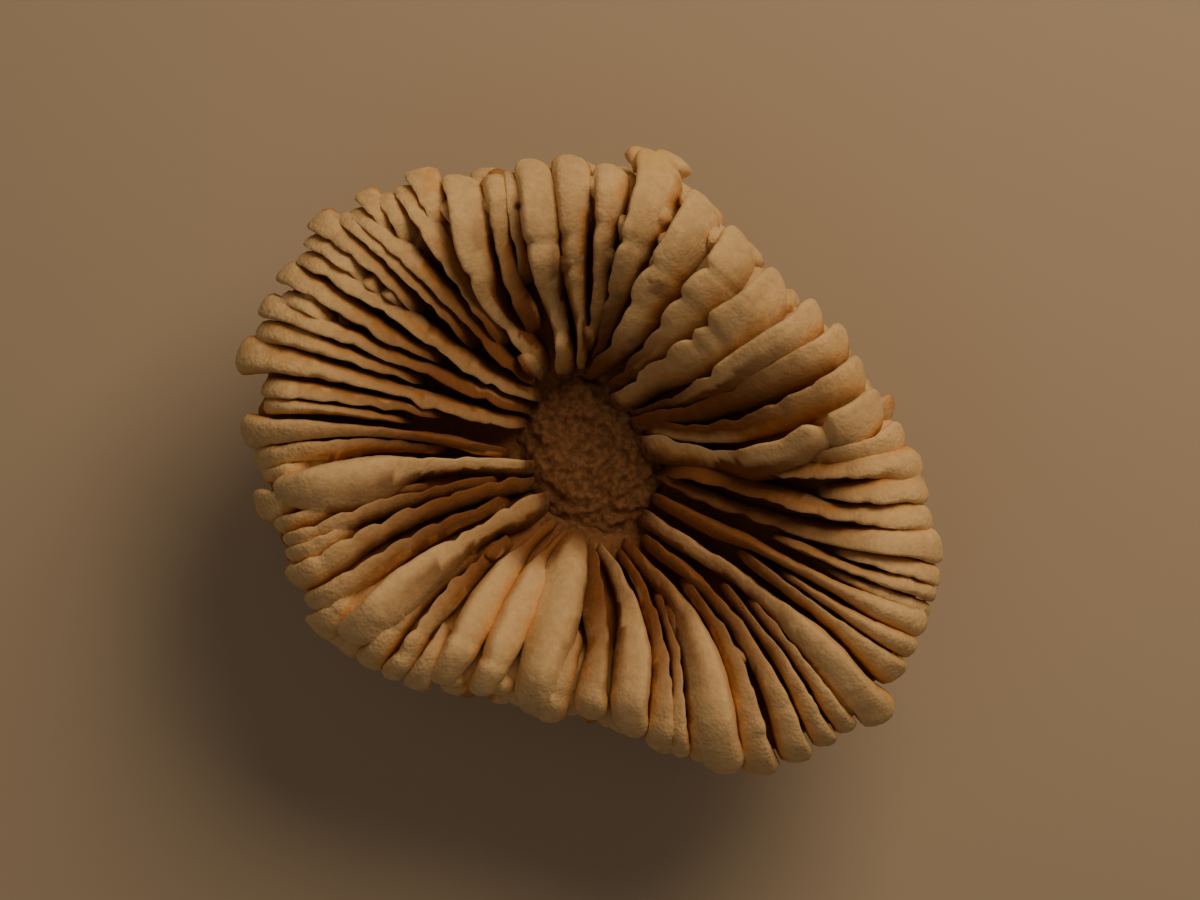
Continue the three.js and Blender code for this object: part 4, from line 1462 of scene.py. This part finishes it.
@dataclass(frozen=True)
class CoralFinish:
    """Dry coral stone: cream on the crests, orange brown on the flanks, dark where it lies deep. The
    darkening with depth and towards the centre is partly staining and partly painted shade.
    """

    name: str = "coral"
    crest_colour: tuple = (0.74, 0.54, 0.30, 1.0)
    face_stain_and_shade_colour: tuple = (0.70, 0.43, 0.185, 1.0)
    flank_stain_and_shade_colour: tuple = (0.47, 0.21, 0.06, 1.0)
    deep_stain_and_shade_colour: tuple = (0.17, 0.065, 0.018, 1.0)
    inner_stain_and_shade_colour: tuple = (0.23, 0.092, 0.028, 1.0)
    # Brown of the spongy centre, darkened partly as painted shade of the deep fossa.
    sponge_stain_and_shade_colour: tuple = (0.27, 0.13, 0.055, 1.0)
    # Painted shade in the pits of the spongy crust.
    pore_shade_colour: tuple = (0.15, 0.065, 0.026, 1.0)
    roughness: tuple = (0.72, 0.93)
    colour_patches: tuple = (
        # A small near-black spot.
        ColourPatch(106.6, 33.5, 0.55, (0.07, 0.035, 0.015, 1.0), 0.9),
        # Painted highlight: the outer knob at the rim is made brighter yellow where it stands in the light.
        ColourPatch(79.5, 40.8, 3.2, (0.82, 0.56, 0.20, 1.0), 0.5),
        # Painted glow: an orange patch where light shines through thin edges at the rim.
        ColourPatch(10.6, 40.2, 1.5, (0.60, 0.26, 0.06, 1.0), 0.7),
    )
    # Depth of the darkest tone, the tones' places on the way there, and how uneven they are. Past the cream
    # crest the tones are partly staining and partly painted shade.
    full_depth: float = 13.0
    tone_places: tuple = (0.03, 0.13, 0.32, 0.8)
    depth_spread: float = 2.0
    tint_spread: float = 0.16
    speckle_gain: tuple = (0.5, 0.78)
    pore_shade_band: tuple = (0.4, 0.6)
    rough_band: tuple = (0.3, 0.7)
    # Noises as (waves a metre, detail), and the granules a metre.
    mottle: tuple = (110.0, 3.0)
    speckle: tuple = (900.0, 4.0)
    pore_shade: tuple = (1300.0, 5.0)
    coarse: tuple = (420.0, 3.0)
    granules: float = 1900.0
    # Bumps as (strength, millimetres), and how much more the granular tips have.
    coarse_bump: tuple = (0.5, 0.35)
    granule_bump: tuple = (0.45, 0.12)
    granule_extra: float = 0.5
    # Light that passes through thin edges.
    scatter: float = 0.22
    scatter_radii: tuple = (0.004, 0.0018, 0.0008)
    scatter_scale: float = 0.5

    def material(self) -> bpy.types.Material:
        """The node material of the whole skeleton.

        Returns:
            The material.
        """
        made = bpy.data.materials.new(self.name)
        made.use_nodes = True
        graph = ShaderGraph(made.node_tree)
        shader = made.node_tree.nodes["Principled BSDF"]
        spot = graph.object_place()
        mottle = graph.noise(spot, *self.mottle)
        looks = {
            "Subsurface Weight": self.scatter,
            "Subsurface Radius": self.scatter_radii,
            "Subsurface Scale": self.scatter_scale,
            "Base Color": self.colour(graph, spot, mottle),
            "Roughness": graph.between(mottle, *self.rough_band, self.roughness),
            "Normal": self.bumps(graph, spot),
        }
        for name, value in looks.items():
            graph.link(value, shader.inputs[name])
        return made

    def colour(self, graph: "ShaderGraph", spot: object, mottle: object) -> bpy.types.NodeSocket:
        """The colour: darker by depth and browner towards the centre, partly staining and partly painted
        shade, with painted shade in the spongy pits and coloured patches, two of them painted light.

        Args:
            graph: The material's graph.
            spot: Position on the object.
            mottle: The broad noise.

        Returns:
            The colour.
        """
        uneven = graph.math("MULTIPLY_ADD", mottle, self.depth_spread, -self.depth_spread / 2)
        depth = graph.math("ADD", graph.attribute("depth_mm"), uneven)
        # Painted shade, with staining: the colour darkens with depth under the nearest crest.
        tones = (self.crest_colour, self.face_stain_and_shade_colour, self.flank_stain_and_shade_colour, self.deep_stain_and_shade_colour)
        level = graph.between(depth, 0.0, self.full_depth)
        body = graph.ramp(level, tuple(zip(self.tone_places, tones)))
        # Painted shade, with staining: browner towards the centre of the bowl.
        body = graph.mix(graph.attribute("brown"), body, self.inner_stain_and_shade_colour)
        tint = graph.attribute("plate_tint")
        shade = graph.math("MULTIPLY_ADD", tint, self.tint_spread, -self.tint_spread / 2)
        speckle = graph.math("MULTIPLY_ADD", graph.noise(spot, *self.speckle), *self.speckle_gain)
        body = graph.brighten(body, graph.math("ADD", shade, speckle))
        # Painted shade: darker spots for the pits of the spongy crust.
        pore_shade = graph.between(graph.noise(spot, *self.pore_shade), *self.pore_shade_band)
        crust = graph.mix(pore_shade, self.pore_shade_colour, self.sponge_stain_and_shade_colour)
        # The spongy centre: its brown is partly painted shade of the deep fossa.
        body = graph.mix(graph.attribute("sponge"), body, crust)
        # Coloured patches, two of them painted light: a highlight and a glow.
        for patch_spec in self.colour_patches:
            body = graph.mix(graph.patch(spot, patch_spec), body, patch_spec.colour)
        return body

    def bumps(self, graph: "ShaderGraph", spot: object) -> bpy.types.NodeSocket:
        """Coarse bumps with granules on them, which are stronger on the granular tips.

        Args:
            graph: The material's graph.
            spot: Position on the object.

        Returns:
            The bumped normal.
        """
        under = graph.bump(graph.noise(spot, *self.coarse), *self.coarse_bump)
        strength, height = self.granule_bump
        grain = graph.attribute("grain")
        strength = graph.math("MULTIPLY_ADD", grain, self.granule_extra, strength)
        return graph.bump(graph.cells(spot, self.granules), strength, height, under, turned=True)


class ShaderGraph:
    """Short ways to add the nodes of a material."""

    def __init__(self, tree: bpy.types.NodeTree) -> None:
        """Keeps the tree that nodes are added to."""
        self.tree = tree

    def link(self, source: object, socket: bpy.types.NodeSocket) -> None:
        """Feeds a socket.

        Args:
            source: Another socket or a fixed value.
            socket: The socket to feed.
        """
        if isinstance(source, bpy.types.NodeSocket):
            self.tree.links.new(source, socket)
        else:
            socket.default_value = source

    def add(self, kind: str, inputs: dict, **options: object) -> bpy.types.Node:
        """Adds a node, sets it up and feeds it.

        Args:
            kind: Type of node, without its prefix.
            inputs: Sockets or fixed values by the input's name or number.
            options: The node's settings.

        Returns:
            The node.
        """
        node = self.tree.nodes.new(f"ShaderNode{kind}")
        for name, value in options.items():
            setattr(node, name, value)
        for key, value in inputs.items():
            self.link(value, node.inputs[key])
        return node

    def object_place(self) -> bpy.types.NodeSocket:
        """Position on the object."""
        return self.add("TexCoord", {}).outputs["Object"]

    def attribute(self, name: str) -> bpy.types.NodeSocket:
        """A number stored at the mesh's corners."""
        return self.add("Attribute", {}, attribute_name=name).outputs["Fac"]

    def noise(self, spot: object, scale: float, detail: float) -> bpy.types.NodeSocket:
        """Soft noise with so many waves a metre."""
        inputs = {"Scale": scale, "Detail": detail, "Vector": spot}
        return self.add("TexNoise", inputs).outputs["Fac"]

    def cells(self, spot: object, scale: float) -> bpy.types.NodeSocket:
        """Distance to the middle of the nearest of so many cells a metre."""
        return self.add("TexVoronoi", {"Scale": scale, "Vector": spot}).outputs["Distance"]

    def math(self, kind: str, *values: object) -> bpy.types.NodeSocket:
        """The result of a sum with numbers or sockets."""
        return self.add("Math", dict(enumerate(values)), operation=kind).outputs["Value"]

    def between(self, value: object, low: float, high: float,
                out: tuple = (0.0, 1.0)) -> bpy.types.NodeSocket:
        """Maps a range to another, held at both ends."""
        ends = {"From Min": low, "From Max": high, "To Min": out[0], "To Max": out[1]}
        return self.add("MapRange", {"Value": value, **ends}).outputs["Result"]

    def ramp(self, value: object, stops: tuple) -> bpy.types.NodeSocket:
        """Colours along a value.

        Args:
            value: Where to read, from 0 to 1.
            stops: (position, colour) pairs.

        Returns:
            The colour.
        """
        node = self.add("ValToRGB", {"Fac": value})
        elements = node.color_ramp.elements
        while len(elements) < len(stops):
            elements.new(1.0)
        for element, (position, colour) in zip(elements, stops):
            element.position = position
            element.color = colour
        return node.outputs["Color"]

    def mix(self, share: object, first: object, second: object) -> bpy.types.NodeSocket:
        """A mix of two colours."""
        inputs = {"Factor": share, 6: first, 7: second}
        return self.add("Mix", inputs, data_type="RGBA").outputs[2]

    def brighten(self, colour: object, share: object) -> bpy.types.NodeSocket:
        """A colour times a number."""
        inputs = {0: colour, "Scale": share}
        return self.add("VectorMath", inputs, operation="SCALE").outputs["Vector"]

    def patch(self, spot: object, patch_spec: ColourPatch) -> bpy.types.NodeSocket:
        """How strongly a patch covers this place.

        Args:
            spot: Position on the object.
            patch_spec: The patch.

        Returns:
            A share that fades out at the patch's edge.
        """
        size = patch_spec.size * MM
        x, y = plane_point(patch_spec.bearing, patch_spec.radius) * MM
        flat = self.add("VectorMath", {0: spot, 1: (1.0, 1.0, 0.0)}, operation="MULTIPLY")
        ends = {0: flat.outputs["Vector"], 1: (x, y, 0.0)}
        away = self.add("VectorMath", ends, operation="DISTANCE").outputs["Value"]
        waves = self.noise(spot, *patch_spec.waves)
        ragged = self.math("MULTIPLY_ADD", waves, patch_spec.ragged * size, away)
        inner = patch_spec.core * size
        return self.between(ragged, inner + size, inner, (0.0, patch_spec.strength))

    def bump(self, height: object, strength: object, distance: float, under: object = None,
             turned: bool = False) -> bpy.types.NodeSocket:
        """A bump on top of another one.

        Args:
            height: Height, from 0 to 1.
            strength: Strength, from 0 to 1.
            distance: Millimetres at full height.
            under: Normal of the bump below, if there is one.
            turned: Whether high places sink instead.

        Returns:
            The bumped normal.
        """
        inputs = {"Distance": distance * MM, "Strength": strength, "Height": height}
        if under is not None:
            inputs["Normal"] = under
        return self.add("Bump", inputs, invert=turned).outputs["Normal"]


@dataclass(frozen=True)
class Lamp:
    """A soft square lamp: its place and side in metres, its power in watts and its colour."""

    name: str
    place: tuple
    size: float
    power: float
    colour: tuple


@dataclass(frozen=True)
class Studio:
    """Plain pale floor, soft light from the top right and the camera straight above."""

    centre: tuple = (1.04, 0.65)
    distance: float = 500.0
    lens: float = 116.9
    sensor: float = 36.0
    near_clip: float = 0.01
    floor_half: float = 3.0
    floor_colour: tuple = (0.52, 0.45, 0.37, 1)
    floor_roughness: float = 0.9
    lamps: tuple = (
        Lamp("key", (0.18, 0.29, 0.34), 0.28, 1.35, (1.0, 0.72, 0.43)),
        Lamp("fill", (-0.3, -0.2, 0.9), 1.0, 0.7, (1.0, 0.78, 0.54)),
    )
    aim: tuple = (0, 0, 0.03)
    surround: tuple = (1.0, 0.82, 0.62, 1)
    surround_strength: float = 0.07

    def camera(self) -> None:
        """The camera at the photograph's viewing angle: straight down, +Y up in the frame."""
        data = bpy.data.cameras.new("camera")
        data.lens = self.lens
        data.sensor_width = self.sensor
        data.clip_start = self.near_clip
        eye = bpy.data.objects.new("camera", data)
        eye.location = (self.centre[0] * MM, self.centre[1] * MM,
                        (CROWN_HEIGHT + self.distance) * MM)
        bpy.context.scene.collection.objects.link(eye)
        bpy.context.scene.camera = eye

    def floor(self) -> bpy.types.Object:
        """The plain pale floor.

        Returns:
            The floor's object.
        """
        half = self.floor_half
        mesh = bpy.data.meshes.new("floor")
        corners = [(-half, -half, 0), (half, -half, 0), (half, half, 0), (-half, half, 0)]
        mesh.from_pydata(corners, [], [(0, 1, 2, 3)])
        floor = plain_object("floor", mesh)
        made = bpy.data.materials.new("floor")
        made.use_nodes = True
        shader = made.node_tree.nodes["Principled BSDF"]
        shader.inputs["Base Color"].default_value = self.floor_colour
        shader.inputs["Roughness"].default_value = self.floor_roughness
        mesh.materials.append(made)
        return floor

    def light(self, lamp: Lamp) -> None:
        """Puts up one lamp that looks at the coral.

        Args:
            lamp: The lamp.
        """
        data = bpy.data.lights.new(lamp.name, "AREA")
        data.size = lamp.size
        data.energy = lamp.power
        data.color = lamp.colour
        holder = bpy.data.objects.new(lamp.name, data)
        holder.location = lamp.place
        aim = Vector(self.aim) - Vector(lamp.place)
        holder.rotation_euler = aim.to_track_quat("-Z", "Y").to_euler()
        bpy.context.scene.collection.objects.link(holder)

    def build(self) -> bpy.types.Object:
        """Camera, lamps, a dim surround and the floor.

        Returns:
            The floor's object.
        """
        self.camera()
        for lamp in self.lamps:
            self.light(lamp)
        world = bpy.data.worlds.new("surround")
        world.use_nodes = True
        background = world.node_tree.nodes["Background"]
        background.inputs["Color"].default_value = self.surround
        background.inputs["Strength"].default_value = self.surround_strength
        bpy.context.scene.world = world
        return self.floor()


def main() -> None:
    """Builds the coral and the studio, and hands each piece to the frame."""
    logging.basicConfig(level=logging.INFO, format="%(name)s: %(message)s")
    coral = Corallum().build()
    coral.data.materials.clear()
    coral.data.materials.append(CoralFinish().material())
    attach(coral, "root")
    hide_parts(NODE)
    LOG.info("%s: %d triangles", coral.name, len(coral.data.polygons))
    floor = Studio().build()
    LOG.info("%s: plain floor", floor.name)


if __name__ == "__main__":
    main()
